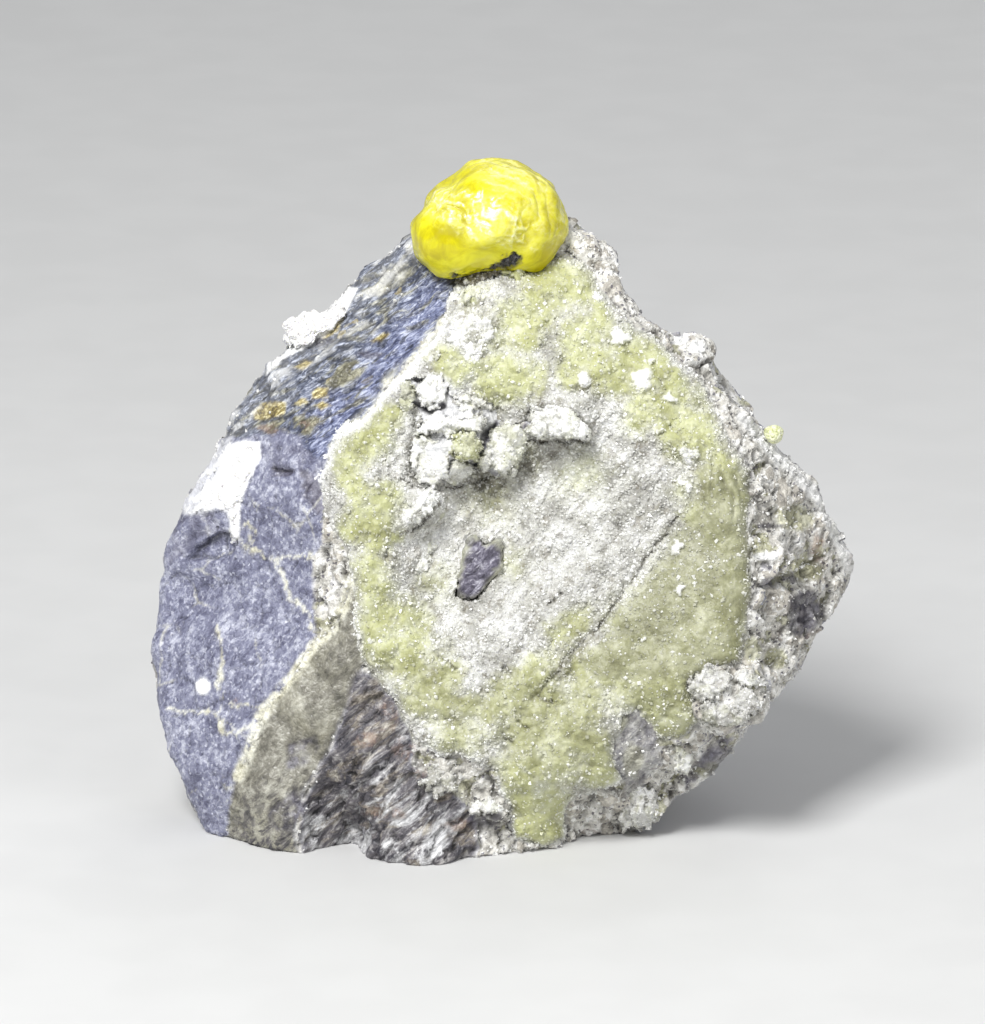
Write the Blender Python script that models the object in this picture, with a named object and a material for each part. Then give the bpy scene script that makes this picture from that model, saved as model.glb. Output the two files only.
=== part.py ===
"""A loose mineral specimen: a lemon-yellow crystal ball on the top of a broken block of dark rock,
whose front carries a pale yellow crust of fine crystals around a grey, crystal-lined hollow.

The rock is drawn in a face frame, in millimetres: u runs to the right across its front, v runs up
the front, and t points out of it. A depth is measured the other way, into the rock. The front leans
back by LEAN_DEG, and the floor cuts the foot off flat.
"""

import math

import bmesh
import bpy
import numpy as np
from mathutils import Matrix, Vector, noise
from mathutils.bvhtree import BVHTree
from mathutils.geometry import delaunay_2d_cdt

MM = 0.001
LEAN_DEG = 16.0
# Where the face frame's origin stands in the object's own frame, so that the foot's box is centred.
FACE_ORIGIN = (-0.13, -20.4)

# The rock's outline, seen square to its front, clockwise from the top left.
SILHOUETTE = (
    (-8.8, 62.6), (-5.0, 64.6), (0.0, 65.4), (4.5, 64.6), (7.5, 62.6), (10.0, 61.2),
    (11.2, 58.0), (13.8, 54.2), (16.8, 51.9), (20.0, 50.8), (20.9, 48.0), (23.5, 44.7),
    (26.8, 40.8), (30.1, 38.2), (32.9, 35.4), (34.9, 30.2), (32.1, 24.9), (28.7, 20.0),
    (25.8, 15.5), (23.0, 11.6), (19.3, 8.1), (15.0, 5.0), (11.0, 1.5), (6.0, -2.5),
    (-7.5, -3.5), (-24.0, -2.5), (-29.2, 2.6), (-31.5, 8.2), (-33.3, 13.7), (-34.2, 18.2),
    (-34.4, 22.2), (-33.8, 27.2), (-32.5, 31.7), (-30.8, 35.7), (-28.5, 39.7), (-26.8, 43.2),
    (-25.0, 46.4), (-21.5, 50.0), (-18.0, 53.6), (-14.8, 56.6), (-11.8, 60.0),
)

# The ridge between the crusted face and the smooth left flank, top to bottom: u, v, depth.
FLANK_RIDGE = (
    (-4.0, 66.0, 7.5), (-5.2, 59.2, 6.2), (-5.5, 54.2, 5.0), (-10.0, 47.4, 3.2),
    (-15.0, 42.5, 2.2), (-16.7, 38.2, 1.8), (-17.0, 33.7, 1.8), (-15.3, 27.2, 1.6),
    (-16.5, 22.7, 2.0), (-21.0, 17.4, 3.0), (-23.8, 12.7, 4.2), (-26.2, 7.7, 6.0),
    (-27.4, 2.7, 9.0), (-28.0, -4.0, 12.0),
)
FLANK_FALL = 0.86

# The edge where the face turns back into the grainy right rim, top to bottom: u, v, depth.
RIM_RIDGE = (
    (7.5, 66.0, 8.5), (9.0, 61.7, 7.0), (14.0, 53.2, 4.5), (20.0, 46.7, 3.0),
    (24.5, 40.2, 2.4), (25.2, 32.2, 2.0), (25.0, 24.2, 2.2), (23.5, 17.2, 3.0),
    (19.0, 11.2, 4.5), (14.0, 6.7, 7.0), (10.2, 3.2, 10.0), (8.0, -4.0, 12.0),
)
RIM_FALL = 1.15

# Depths of the face between those two ridges: u, v, depth.
TOP_DEPTHS = ((-4, 60, 7.0), (3, 61, 7.4), (9, 60, 7.4), (0, 55, 5.0), (8, 54, 4.5), (13, 52, 4.5),
              (-5, 50, 3.8), (3, 48, 3.0), (12, 46, 2.4), (19, 46, 3.0), (-12, 43, 2.0),
              (7, 43.5, 2.6), (16, 41, 1.6), (22, 42, 2.2))
HOLLOW_DEPTHS = ((-6, 37, 6.2), (-1, 37.5, 6.6), (5, 38.5, 5.0), (0, 33, 6.0), (-6, 31, 5.6),
                 (5, 30, 4.6), (10, 34, 3.4), (14, 36, 2.2), (8, 26, 3.0), (-3, 26, 4.2),
                 (-7, 28, 4.6), (13, 30, 2.0), (10, 41, 2.8))
CRUST_DEPTHS = ((-13, 36, 0.9), (-13, 28, 0.6), (-11, 22, 0.8), (-10.4, 38, 2.0), (20, 34, 0.7),
                (21, 27, 0.3), (18, 20, 0.2), (15, 26, 1.0), (12, 22, 1.0), (5, 20, 1.2),
                (0, 22, 1.8), (-4, 18, 0.8), (3, 12, 0.2), (8, 14, 0.5), (12, 10, 2.0),
                (16, 12, 2.5))
FOOT_DEPTHS = ((-14, 17, 1.2), (-18, 14, 2.2), (-12, 10, 0.6), (-22, 9, 3.2), (-7, 10, 0.4),
               (-10, 5, 0.2), (-20, 4, 3.4), (-25, 1.8, 6.0), (-21, 1.2, 3.8), (-17, 1.9, 6.2),
               (-14.8, 2.4, 8.2), (-11.6, 0.4, 1.0), (-7.5, 0.0, 0.2), (-2, 1.0, 3.2),
               (4.5, 1.5, 4.8), (9, 2.6, 8.5))
DEPTH_REACH = 1.6
DEPTH_POWER = 2.2

# The crack where the hollow's lining stops and the face drops by a step.
STEP_LINE = ((17.2, 33.6), (12.5, 28.6), (8.6, 23.0), (5.2, 19.0), (2.6, 15.8))
STEP_DROP = 1.3
STEP_REACH = 4.0

# Facets of the back, each rising inward from an edge: start, end, depth at the edge, slope.
BACK_FACETS = (
    ((-33.5, 30.0), (-8.0, 65.0), 15.5, 1.30),
    ((-8.0, 67.5), (9.0, 65.0), 16.0, 1.70),
    ((8.0, 64.5), (35.8, 33.0), 12.5, 1.15),
    ((35.8, 30.0), (14.0, 3.0), 14.5, 2.10),
    ((-29.0, 2.0), (-35.0, 24.0), 18.0, 1.55),
    ((20.0, 70.0), (38.0, 20.0), 18.0, 1.05),
)
BACK_DEPTH = 40.0
BACK_TAPER = 0.30
LEAST_THICKNESS = 2.0

# Lumps grown into the rock: u, v, rise of the centre above the face, half sizes, turn, squareness.
LUMPS = (
    (-4.6, 42.6, -0.8, (3.2, 3.6, 4.4), -28, 0.45),   # ledge block over the hollow
    (-6.6, 39.2, -0.6, (2.0, 1.6, 3.4), 25, 0.5),     # corner block under it
    (1.0, 41.4, -0.6, (1.6, 3.0, 4.0), -38, 0.45),    # ledge slab beside it
    (6.0, 44.2, -1.2, (3.3, 1.5, 3.8), -12, 0.45),    # ledge wedge
    (-8.0, 35.3, -0.2, (2.6, 1.2, 3.2), 38, 0.5),     # slab on the hollow's left edge
    (-9.2, 46.9, 0.0, (0.9, 1.7, 1.5), 10, 0.8),      # left knob
    (-6.4, 47.5, 0.0, (2.1, 1.9, 1.9), 0, 0.7),       # white knob
    (-3.0, 51.8, -0.4, (2.7, 2.7, 1.5), 20, 0.7),     # upper knob
    (-2.2, 29.4, -0.6, (1.6, 3.3, 1.9), -22, 0.5),    # dark chip in the hollow
    (22.4, 16.9, -0.2, (3.5, 3.0, 2.7), 15, 0.6),     # grainy lump on the right
    (-1.0, 5.3, 0.2, (1.4, 1.2, 1.5), 10, 0.9),       # small lump low on the face
    (19.4, 50.6, -1.8, (1.9, 1.5, 1.9), 30, 0.85),    # knob on the right shoulder
    (9.7, 60.7, -0.6, (1.1, 0.9, 1.3), -30, 0.9),     # point on the right shoulder
    (-34.0, 20.8, -1.0, (0.9, 1.9, 1.9), 5, 1.0),     # swelling on the left edge
    (27.0, 30.0, 0.1, (1.7, 1.0, 1.2), -10, 0.9),     # flake on the right rim
    (14.2, 6.2, -0.8, (1.8, 2.1, 1.8), 20, 0.9),      # pale lump at the right of the foot
)
# Dents in the front: u, v, half sizes across, depth.
DENTS = (
    (-27.2, 32.2, (3.2, 1.3), 1.5),                   # shell-shaped chip on the flank
    (-18.6, 37.2, (1.2, 0.8), 1.6),                   # pit beside the ridge
)

CRUST_OUTLINE = (
    (-3.6, 56.2), (2.0, 57.3), (7.6, 59.6), (10.4, 57.6), (13.2, 53.6), (17.0, 50.2),
    (20.4, 45.8), (23.6, 41.4), (24.7, 36.0), (24.5, 30.0), (24.6, 25.0), (23.0, 20.6),
    (18.4, 19.2), (19.2, 14.4), (15.6, 12.6), (12.6, 15.4), (10.6, 12.0), (11.6, 8.6),
    (7.6, 7.4), (7.6, 2.9), (4.6, 1.9), (1.4, 2.4), (1.4, 7.2), (-2.6, 9.6), (-4.4, 13.0),
    (-8.2, 13.4), (-12.0, 18.6), (-14.6, 23.4), (-14.0, 27.4), (-15.8, 32.6), (-15.9, 38.0),
    (-14.2, 42.0), (-10.6, 43.6), (-10.6, 48.6), (-7.4, 50.0), (-5.6, 53.4),
)
HOLLOW_OUTLINE = (
    (-9.8, 44.0), (-3.0, 46.6), (3.2, 44.8), (6.6, 46.6), (10.4, 45.4), (13.6, 43.2),
    (17.4, 39.4), (18.0, 34.6), (13.2, 28.2), (9.0, 22.4), (5.6, 21.2), (1.2, 23.6),
    (-3.6, 22.8), (-7.4, 24.4), (-9.2, 28.6), (-9.7, 33.2), (-11.4, 37.2), (-10.8, 41.0),
)
LINING_OUTLINE = (
    (-6.6, 37.0), (-1.0, 37.4), (4.0, 39.8), (9.6, 42.0), (13.2, 42.0), (16.6, 38.8),
    (17.2, 34.8), (12.6, 28.8), (8.4, 23.4), (5.2, 22.4), (1.2, 24.4), (-2.8, 24.0),
    (-6.6, 25.4), (-8.2, 28.8), (-8.4, 33.0),
)
CHIP_OUTLINE = (
    (-4.6, 26.4), (-3.9, 31.0), (-2.4, 33.4), (0.2, 33.0), (0.3, 29.4), (-1.4, 25.8),
)
PATCH_OUTLINE = (
    (-24.0, 42.3), (-26.6, 41.9), (-28.2, 39.4), (-29.6, 36.2), (-28.6, 34.8), (-26.9, 34.4),
    (-26.0, 36.8), (-23.7, 40.4),
)
CRUST_THICKNESS = 1.15
LINING_THICKNESS = 0.8
PATCH_THICKNESS = 0.55
# Share of its thickness that a sheet keeps at its edge, and how far in it reaches the whole of it.
EDGE_THICKNESS = 0.55
EDGE_WIDTH = 1.4
SWELL_LENGTH = 5.0
SWELL_SHARE = 0.25

# Growths on the rock, each of one or more lobes: u, v, depth of the centre, half sizes, turn,
# squareness.
BALL_LOBES = (
    (-0.5, 64.2, 8.2, (6.9, 5.8, 7.1), 0, 0.95),
    (-4.6, 62.3, 7.0, (4.2, 4.1, 5.4), 20, 0.95),
    (2.9, 63.0, 7.8, (3.7, 4.4, 5.2), -15, 0.95),
)
KNOB_LOBES = (
    (-19.2, 52.1, 14.2, (2.1, 2.6, 4.2), 10, 0.6),
    (-16.6, 53.9, 13.6, (2.4, 1.3, 3.6), 40, 0.6),
)
RIM_BALL_LOBES = ((27.1, 42.7, 5.8, (0.95, 0.95, 0.95), 0, 1.0),)
# Clear space between the rock and each piece that grows on it.
GAP = 0.32

# How finely the solids are faceted. Points are kept clear of an outline by RING_CLEAR of a grid.
OUTLINE_STEP = 1.5
ROCK_GRID = 2.4
SHEET_GRID = 1.75
RING_CLEAR = 0.45
BED_RING_POINTS = 8
VOXEL = 0.8
ROCK_FACES = 6400
LUMP_LEVEL = 2
LUMP_WOBBLE = 0.12
GROWTH_VOXEL = 0.3
GROWTH_LEVEL = 3
BALL_FACES = 900
KNOB_FACES = 260
RIM_BALL_FACES = 120
SHARP_DEG = 35.0
RAY_START = 50.0
CUT_TOLERANCE = 1e-6
FILL_TOLERANCE = 1e-5

# The broken skin: sizes of its scoops, and how high they stand on the front and the back.
SCOOP_SEED = 7.3
SCOOP_TILT = 0.9
BROAD_SCOOP = 10.0
BROAD_FRONT = 0.10
BROAD_REAR = 0.34
SMALL_SCOOP = 3.4
SMALL_FRONT = 0.22
SMALL_REAR = 0.34
WAVE_LENGTH = 5.0
WAVE_HEIGHT = 0.3
# A skin that points this far forward or more counts as front.
REAR_TILT = 0.5

FINISHES = {
    "matrix": ((0.145, 0.15, 0.19), 0.75),
    "druse_crust": ((0.62, 0.62, 0.33), 0.5),
    "hollow_lining": ((0.6, 0.59, 0.54), 0.55),
    "yellow_ball": ((0.85, 0.74, 0.05), 0.3),
    "white_vein_knob": ((0.8, 0.78, 0.74), 0.8),
    "white_vein_patch": ((0.82, 0.8, 0.74), 0.7),
    "rim_ball": ((0.7, 0.72, 0.36), 0.4),
}


def face_to_object():
    """The matrix from the face frame, in millimetres, to the object's frame, in metres."""
    lean = math.radians(LEAN_DEG)
    turn = Matrix((
        (1, 0, 0, FACE_ORIGIN[0]),
        (0, math.sin(lean), -math.cos(lean), FACE_ORIGIN[1]),
        (0, math.cos(lean), math.sin(lean), 0),
        (0, 0, 0, 1),
    ))
    return Matrix.Scale(MM, 4) @ turn


# ---- outlines and depths ----

def curve_through(points, step):
    """A closed Catmull-Rom curve through the points, sampled about every step."""
    points = [Vector(p) for p in points]
    count = len(points)
    sampled = []
    for i in range(count):
        before, start, end, after = (points[(i + k) % count] for k in (-1, 0, 1, 2))
        pieces = max(1, round((end - start).length / step))
        for k in range(pieces):
            s = k / pieces
            sampled.append(0.5 * (
                2 * start + (end - before) * s
                + (2 * before - 5 * start + 4 * end - after) * s ** 2
                + (3 * start - before - 3 * end + after) * s ** 3
            ))
    return np.array([tuple(p) for p in sampled])


def inside(outline, points):
    """Which of the points lie inside a closed outline, by crossings."""
    found = np.zeros(len(points), bool)
    x, y = points[:, 0], points[:, 1]
    for (x1, y1), (x2, y2) in zip(outline, np.roll(outline, -1, axis=0)):
        spans = (y1 > y) != (y2 > y)
        with np.errstate(divide="ignore", invalid="ignore"):
            crossing = x1 + (y - y1) * (x2 - x1) / (y2 - y1)
        found ^= spans & (x < crossing)
    return found


def nearest_on(line, points, closed=False):
    """Distance from each point to a line, positive on the line's left, and the depth there."""
    line = np.array(line, float)
    ends = np.roll(line, -1, axis=0) if closed else line[1:]
    best = np.full(len(points), np.inf)
    signed = np.zeros(len(points))
    depth = np.zeros(len(points))
    for start, end in zip(line if closed else line[:-1], ends):
        run = end - start
        length2 = max(run[0] ** 2 + run[1] ** 2, 1e-9)
        share = ((points - start[:2]) @ run[:2] / length2).clip(0, 1)
        off = points - start[:2] - share[:, None] * run[:2]
        far = np.hypot(off[:, 0], off[:, 1])
        side = np.sign(run[0] * off[:, 1] - run[1] * off[:, 0])
        closer = far < best - 1e-9
        best[closer] = far[closer]
        signed[closer] = (far * side)[closer]
        if line.shape[1] > 2:
            depth[closer] = (start[2] + share * run[2])[closer]
    return signed, depth


def face_depth(points):
    """Depth of the crusted face: a weighted mean of the set depths, and the step at the crack."""
    knots = np.array(TOP_DEPTHS + HOLLOW_DEPTHS + CRUST_DEPTHS + FOOT_DEPTHS)
    gaps2 = ((points[:, None] - knots[None, :, :2]) ** 2).sum(axis=2) + DEPTH_REACH ** 2
    weights = gaps2 ** -DEPTH_POWER
    depth = (weights * knots[:, 2]).sum(axis=1) / weights.sum(axis=1)
    below, _ = nearest_on(STEP_LINE, points)
    below = np.where(below > 0, below, np.inf)
    return depth + STEP_DROP * np.exp(-below / STEP_REACH)


def front_depth(points):
    """Depth of the rock's front: the face, cut back by the left flank and by the right rim."""
    outward, ridge = nearest_on(FLANK_RIDGE, points)
    flank = ridge - FLANK_FALL * outward
    outward, ridge = nearest_on(RIM_RIDGE, points)
    rim = ridge + RIM_FALL * outward
    depth = np.maximum(face_depth(points), np.maximum(flank, rim))
    for u, v, (half_u, half_v), deep in DENTS:
        away2 = ((points[:, 0] - u) / half_u) ** 2 + ((points[:, 1] - v) / half_v) ** 2
        depth = depth + deep * np.exp(-away2)
    return depth


def back_depth(points):
    """Depth of the rock's broken back: the nearest of its facets."""
    depth = BACK_DEPTH - BACK_TAPER * points[:, 1]
    for start, end, edge, slope in BACK_FACETS:
        run = np.subtract(end, start) / math.dist(start, end)
        off = points - np.array(start)
        inward = run[1] * off[:, 0] - run[0] * off[:, 1]
        depth = np.minimum(depth, edge + slope * inward)
    return np.maximum(depth, front_depth(points) + LEAST_THICKNESS)


# ---- meshes ----

def filled(outline, grid, hole=None):
    """Points and triangles that fill an outline evenly, less a hole."""
    low, high = outline.min(axis=0), outline.max(axis=0)
    rows = np.arange(low[1], high[1], grid * math.sqrt(0.75))
    spread = [
        (u, v)
        for i, v in enumerate(rows)
        for u in np.arange(low[0] + grid * 0.5 * (i % 2), high[0], grid)
    ]
    rings = [outline] if hole is None else [outline, hole]
    spread = np.array(spread)
    for ring in rings:
        off, _ = nearest_on(ring, spread, closed=True)
        spread = spread[np.abs(off) > grid * RING_CLEAR]
    kept = spread[inside(outline, spread)]
    if hole is not None:
        kept = kept[~inside(hole, kept)]
    points, edges = [], []
    for ring in rings:
        first = len(points)
        points += [tuple(p) for p in ring]
        edges += [(first + i, first + (i + 1) % len(ring)) for i in range(len(ring))]
    points += [tuple(p) for p in kept]
    made = delaunay_2d_cdt([Vector(p) for p in points], edges, [], 0, FILL_TOLERANCE)
    points = np.array([tuple(p) for p in made[0]])
    triangles = np.array(made[2])
    middles = points[triangles].mean(axis=1)
    wanted = inside(outline, middles)
    if hole is not None:
        wanted &= ~inside(hole, middles)
    return points, triangles[wanted]


def slab(bm, points, triangles, front, back):
    """Adds a closed slab over the triangles, between two depths, to the bmesh."""
    fronts = [bm.verts.new((u, v, -deep)) for (u, v), deep in zip(points, front)]
    backs = [bm.verts.new((u, v, -deep)) for (u, v), deep in zip(points, back)]
    sides = {}
    for a, b, c in triangles:
        bm.faces.new((fronts[a], fronts[b], fronts[c]))
        bm.faces.new((backs[c], backs[b], backs[a]))
        for start, end in ((a, b), (b, c), (c, a)):
            if not sides.pop((end, start), False):
                sides[(start, end)] = True
    for start, end in sides:
        bm.faces.new((fronts[end], fronts[start], backs[start], backs[end]))
    bm.verts.ensure_lookup_table()
    loose = [v for v in bm.verts if not v.link_faces]
    bmesh.ops.delete(bm, geom=loose, context="VERTS")


def unevenness(place):
    """Gentle noise about zero, the same for the same place."""
    return noise.fractal(place, 1.0, 2.0, 2)


def lump(bm, centre, half_sizes, turn_deg, squareness, level=LUMP_LEVEL):
    """Adds a closed rounded block with an uneven skin to the bmesh."""
    turn = Matrix.Translation(centre) @ Matrix.Rotation(math.radians(turn_deg), 4, "Z")
    made = bmesh.ops.create_icosphere(bm, subdivisions=level, radius=1.0)
    for vert in made["verts"]:
        shape = [math.copysign(abs(c) ** squareness, c) for c in vert.co]
        swell = 1 + LUMP_WOBBLE * unevenness(vert.co * 2 + Vector(centre))
        vert.co = turn @ Vector(c * h * swell for c, h in zip(shape, half_sizes))


def new_object(name, bm):
    """An object of the bmesh, with its own finish where it has one."""
    mesh = bpy.data.meshes.new(name)
    bmesh.ops.recalc_face_normals(bm, faces=bm.faces)
    bm.to_mesh(mesh)
    bm.free()
    obj = bpy.data.objects.new(name, mesh)
    bpy.context.scene.collection.objects.link(obj)
    if name in FINISHES:
        obj.data.materials.append(finish_of(name))
    return obj


def finish_of(name):
    """A plain Principled material of the piece's colour and roughness."""
    colour, roughness = FINISHES[name]
    material = bpy.data.materials.new(name)
    material.use_nodes = True
    shader = material.node_tree.nodes["Principled BSDF"]
    shader.inputs["Base Color"].default_value = (*colour, 1)
    shader.inputs["Roughness"].default_value = roughness
    return material


def settle(obj):
    """Replaces the object's mesh with its evaluated one, and drops its modifiers."""
    graph = bpy.context.evaluated_depsgraph_get()
    obj.data = bpy.data.meshes.new_from_object(obj.evaluated_get(graph))
    obj.modifiers.clear()


def remesh(obj, size):
    """Fuses the object's overlapping shells into one even skin."""
    modifier = obj.modifiers.new("fuse", "REMESH")
    modifier.mode = "VOXEL"
    modifier.voxel_size = size
    settle(obj)


def decimate(obj, faces):
    """Thins the mesh to about that many triangles, where it is flattest."""
    modifier = obj.modifiers.new("thin", "DECIMATE")
    modifier.ratio = faces / sum(len(p.vertices) - 2 for p in obj.data.polygons)
    settle(obj)


def scooped(point, size):
    """Height at a point of a skin of shallow scoops with sharp ridges between them."""
    spot = point / size
    heights = []
    for centre in noise.voronoi(spot)[1]:
        tilt = noise.cell_vector(centre * SCOOP_SEED) - Vector((0.5, 0.5, 0.5))
        off = spot - centre
        heights.append(0.5 * off.length_squared + SCOOP_TILT * tilt.dot(off))
    return size * min(heights)


def roughen(obj):
    """Breaks up the rock's skin: broad scoops on the back and rim, slighter ones on the front."""
    mesh = obj.data
    normals = [v.normal.copy() for v in mesh.vertices]
    for vert, normal in zip(mesh.vertices, normals):
        rear = min(1.0, max(0.0, REAR_TILT - normal.z))
        broad = (BROAD_FRONT + BROAD_REAR * rear) * scooped(vert.co, BROAD_SCOOP)
        small = (SMALL_FRONT + SMALL_REAR * rear) * scooped(vert.co, SMALL_SCOOP)
        waves = WAVE_HEIGHT * noise.fractal(vert.co / WAVE_LENGTH, 1.0, 2.0, 3)
        vert.co += normal * (broad + small + waves)


# ---- the pieces ----

def make_matrix():
    """The host rock: a broken block with its lumps fused on and its foot cut flat."""
    outline = curve_through(SILHOUETTE, OUTLINE_STEP)
    points, triangles = filled(outline, ROCK_GRID)
    bm = bmesh.new()
    slab(bm, points, triangles, front_depth(points), back_depth(points))
    for u, v, rise, half_sizes, turn, squareness in LUMPS:
        deep = front_depth(np.array([[u, v]]))[0] - rise
        lump(bm, (u, v, -deep), half_sizes, turn, squareness)
    rock = new_object("matrix", bm)
    remesh(rock, VOXEL)
    roughen(rock)
    decimate(rock, ROCK_FACES)
    rock.data.transform(face_to_object())
    cut_foot(rock)
    rock.data.transform(face_to_object().inverted())
    return rock


def cut_foot(rock):
    """Cuts the rock off flat at the floor, and closes the cut."""
    bm = bmesh.new()
    bm.from_mesh(rock.data)
    everything = bm.verts[:] + bm.edges[:] + bm.faces[:]
    cut = bmesh.ops.bisect_plane(
        bm, geom=everything, dist=CUT_TOLERANCE, plane_co=(0, 0, 0), plane_no=(0, 0, 1),
        clear_inner=True)
    rim = [e for e in cut["geom_cut"] if isinstance(e, bmesh.types.BMEdge)]
    foot = bmesh.ops.contextual_create(bm, geom=rim)["faces"]
    bmesh.ops.triangulate(bm, faces=foot)
    bmesh.ops.recalc_face_normals(bm, faces=bm.faces)
    bm.to_mesh(rock.data)
    bm.free()


def depth_under(tree, points, reach):
    """Depth of the rock's skin under each point: the shallowest of several close by."""
    turns = [2 * math.pi * k / BED_RING_POINTS for k in range(BED_RING_POINTS)]
    ring = [(0.0, 0.0)] + [(reach * math.cos(turn), reach * math.sin(turn)) for turn in turns]
    inward = Vector((0, 0, -1))
    depths = []
    for u, v in points:
        hits = [tree.ray_cast(Vector((u + du, v + dv, RAY_START)), inward) for du, dv in ring]
        depths.append(min(-hit[0].z for hit in hits if hit[0] is not None))
    return np.array(depths)


def make_sheet(name, rock, outline, thickness, hole=None):
    """A closed sheet of crystals that lies on the rock's front, thinner at its edges."""
    outline = curve_through(outline, OUTLINE_STEP)
    if hole is not None:
        hole = curve_through(hole, OUTLINE_STEP)
    points, triangles = filled(outline, SHEET_GRID, hole)
    tree = BVHTree.FromObject(rock, bpy.context.evaluated_depsgraph_get())
    bed = depth_under(tree, points, SHEET_GRID * RING_CLEAR) - GAP
    edge, _ = nearest_on(outline, points, closed=True)
    edge = np.abs(edge)
    if hole is not None:
        edge = np.minimum(edge, np.abs(nearest_on(hole, points, closed=True)[0]))
    full = EDGE_THICKNESS + (1 - EDGE_THICKNESS) * (edge / EDGE_WIDTH).clip(0, 1)
    swell = np.array([unevenness(Vector((u, v, 0)) / SWELL_LENGTH) for u, v in points])
    bm = bmesh.new()
    slab(bm, points, triangles, bed - thickness * full * (1 + SWELL_SHARE * swell), bed)
    return new_object(name, bm)


def make_growth(name, rock, lobes, faces):
    """A growth that sits on the rock: its lobes fused, thinned and cut to the rock's skin."""
    bm = bmesh.new()
    for u, v, deep, half_sizes, turn, squareness in lobes:
        lump(bm, (u, v, -deep), half_sizes, turn, squareness, GROWTH_LEVEL)
    growth = new_object(name, bm)
    remesh(growth, GROWTH_VOXEL)
    decimate(growth, faces)
    cutter = rock.copy()
    cutter.data = rock.data.copy()
    cutter.name = name + "_seat"
    bpy.context.scene.collection.objects.link(cutter)
    cutter.hide_render = True
    cutter.display_type = "WIRE"
    normals = [v.normal.copy() for v in cutter.data.vertices]
    for vert, normal in zip(cutter.data.vertices, normals):
        vert.co += normal * GAP
    seat = growth.modifiers.new("seat", "BOOLEAN")
    seat.operation = "DIFFERENCE"
    seat.object = cutter
    settle(growth)
    bpy.data.objects.remove(cutter)
    return growth


def stand_up(pieces):
    """Turns every piece from the face frame to the object's frame, and shades it."""
    for piece in pieces:
        piece.data.transform(face_to_object())
        piece.data.shade_smooth()
        piece.data.set_sharp_from_angle(angle=math.radians(SHARP_DEG))


def main():
    """Clears the file and builds every piece."""
    for obj in list(bpy.data.objects):
        bpy.data.objects.remove(obj)
    rock = make_matrix()
    stand_up([
        rock,
        make_sheet("druse_crust", rock, CRUST_OUTLINE, CRUST_THICKNESS, HOLLOW_OUTLINE),
        make_sheet("hollow_lining", rock, LINING_OUTLINE, LINING_THICKNESS, CHIP_OUTLINE),
        make_sheet("white_vein_patch", rock, PATCH_OUTLINE, PATCH_THICKNESS),
        make_growth("yellow_ball", rock, BALL_LOBES, BALL_FACES),
        make_growth("white_vein_knob", rock, KNOB_LOBES, KNOB_FACES),
        make_growth("rim_ball", rock, RIM_BALL_LOBES, RIM_BALL_FACES),
    ])


main()
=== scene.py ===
"""Looks of a hand-size mineral specimen: a waxy yellow crystal ball on a dark rock with a pale druse."""

import logging
import math
from dataclasses import dataclass, field
from enum import Enum

import bpy
import numpy as np
from mathutils import Matrix, Vector, noise
from mathutils.bvhtree import BVHTree


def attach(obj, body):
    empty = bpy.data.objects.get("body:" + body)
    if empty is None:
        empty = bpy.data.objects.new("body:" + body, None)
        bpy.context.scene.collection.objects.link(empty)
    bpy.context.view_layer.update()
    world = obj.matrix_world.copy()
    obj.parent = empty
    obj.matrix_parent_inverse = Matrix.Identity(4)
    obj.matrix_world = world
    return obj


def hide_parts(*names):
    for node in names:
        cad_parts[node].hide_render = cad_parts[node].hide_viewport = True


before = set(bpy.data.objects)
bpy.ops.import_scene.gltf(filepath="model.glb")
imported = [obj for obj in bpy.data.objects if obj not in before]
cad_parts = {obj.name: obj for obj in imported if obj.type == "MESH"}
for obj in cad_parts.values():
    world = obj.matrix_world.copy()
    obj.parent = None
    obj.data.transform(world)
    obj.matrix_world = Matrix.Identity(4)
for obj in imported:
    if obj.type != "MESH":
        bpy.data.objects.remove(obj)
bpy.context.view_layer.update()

LOG = logging.getLogger("specimen")
BODY = "root"

Colour = tuple[int, int, int]
Point2 = tuple[float, float]
Outline = tuple[Point2, ...]
Rounds = tuple[tuple[float, float, float], ...]
Ovals = tuple[tuple[float, float, float, float], ...]
Array = np.ndarray
Socket = bpy.types.NodeSocket


class Slot(Enum):
    """The record's material slots."""

    ROCK = "rock"
    YELLOW = "yellow_crystal"
    DRUSE = "yellow_green_druse"
    LINING = "grey_white_druse"
    WHITE = "white_vein"


class Habit(Enum):
    """Shapes of the small crystals."""

    BLOCK = "block"
    SPIKE = "spike"


# ---- the face's frame, outlines and places, in millimetres ----

@dataclass(frozen=True)
class FaceFrame:
    """The leaning frame of the specimen's front face: u to the right, v up, t towards the viewer."""

    lean_deg: float = 16.0
    origin: Point2 = (-0.13, -20.4)
    unit: float = 0.001

    def to_object(self) -> Matrix:
        """Gives the matrix from the face's frame to the object's frame, in metres.

        Returns:
            The 4 x 4 matrix.
        """
        lean = math.radians(self.lean_deg)
        turn = Matrix((
            (1, 0, 0, self.origin[0]),
            (0, math.sin(lean), -math.cos(lean), self.origin[1]),
            (0, math.cos(lean), math.sin(lean), 0),
            (0, 0, 0, 1),
        ))
        return Matrix.Scale(self.unit, 4) @ turn

    def object_points(self, points: Array) -> Array:
        """Takes points in millimetres from the face's frame to the object's frame, in metres."""
        turn = np.array(self.to_object())
        return points @ turn[:3, :3].T + turn[:3, 3]


FACE = FaceFrame()

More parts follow.
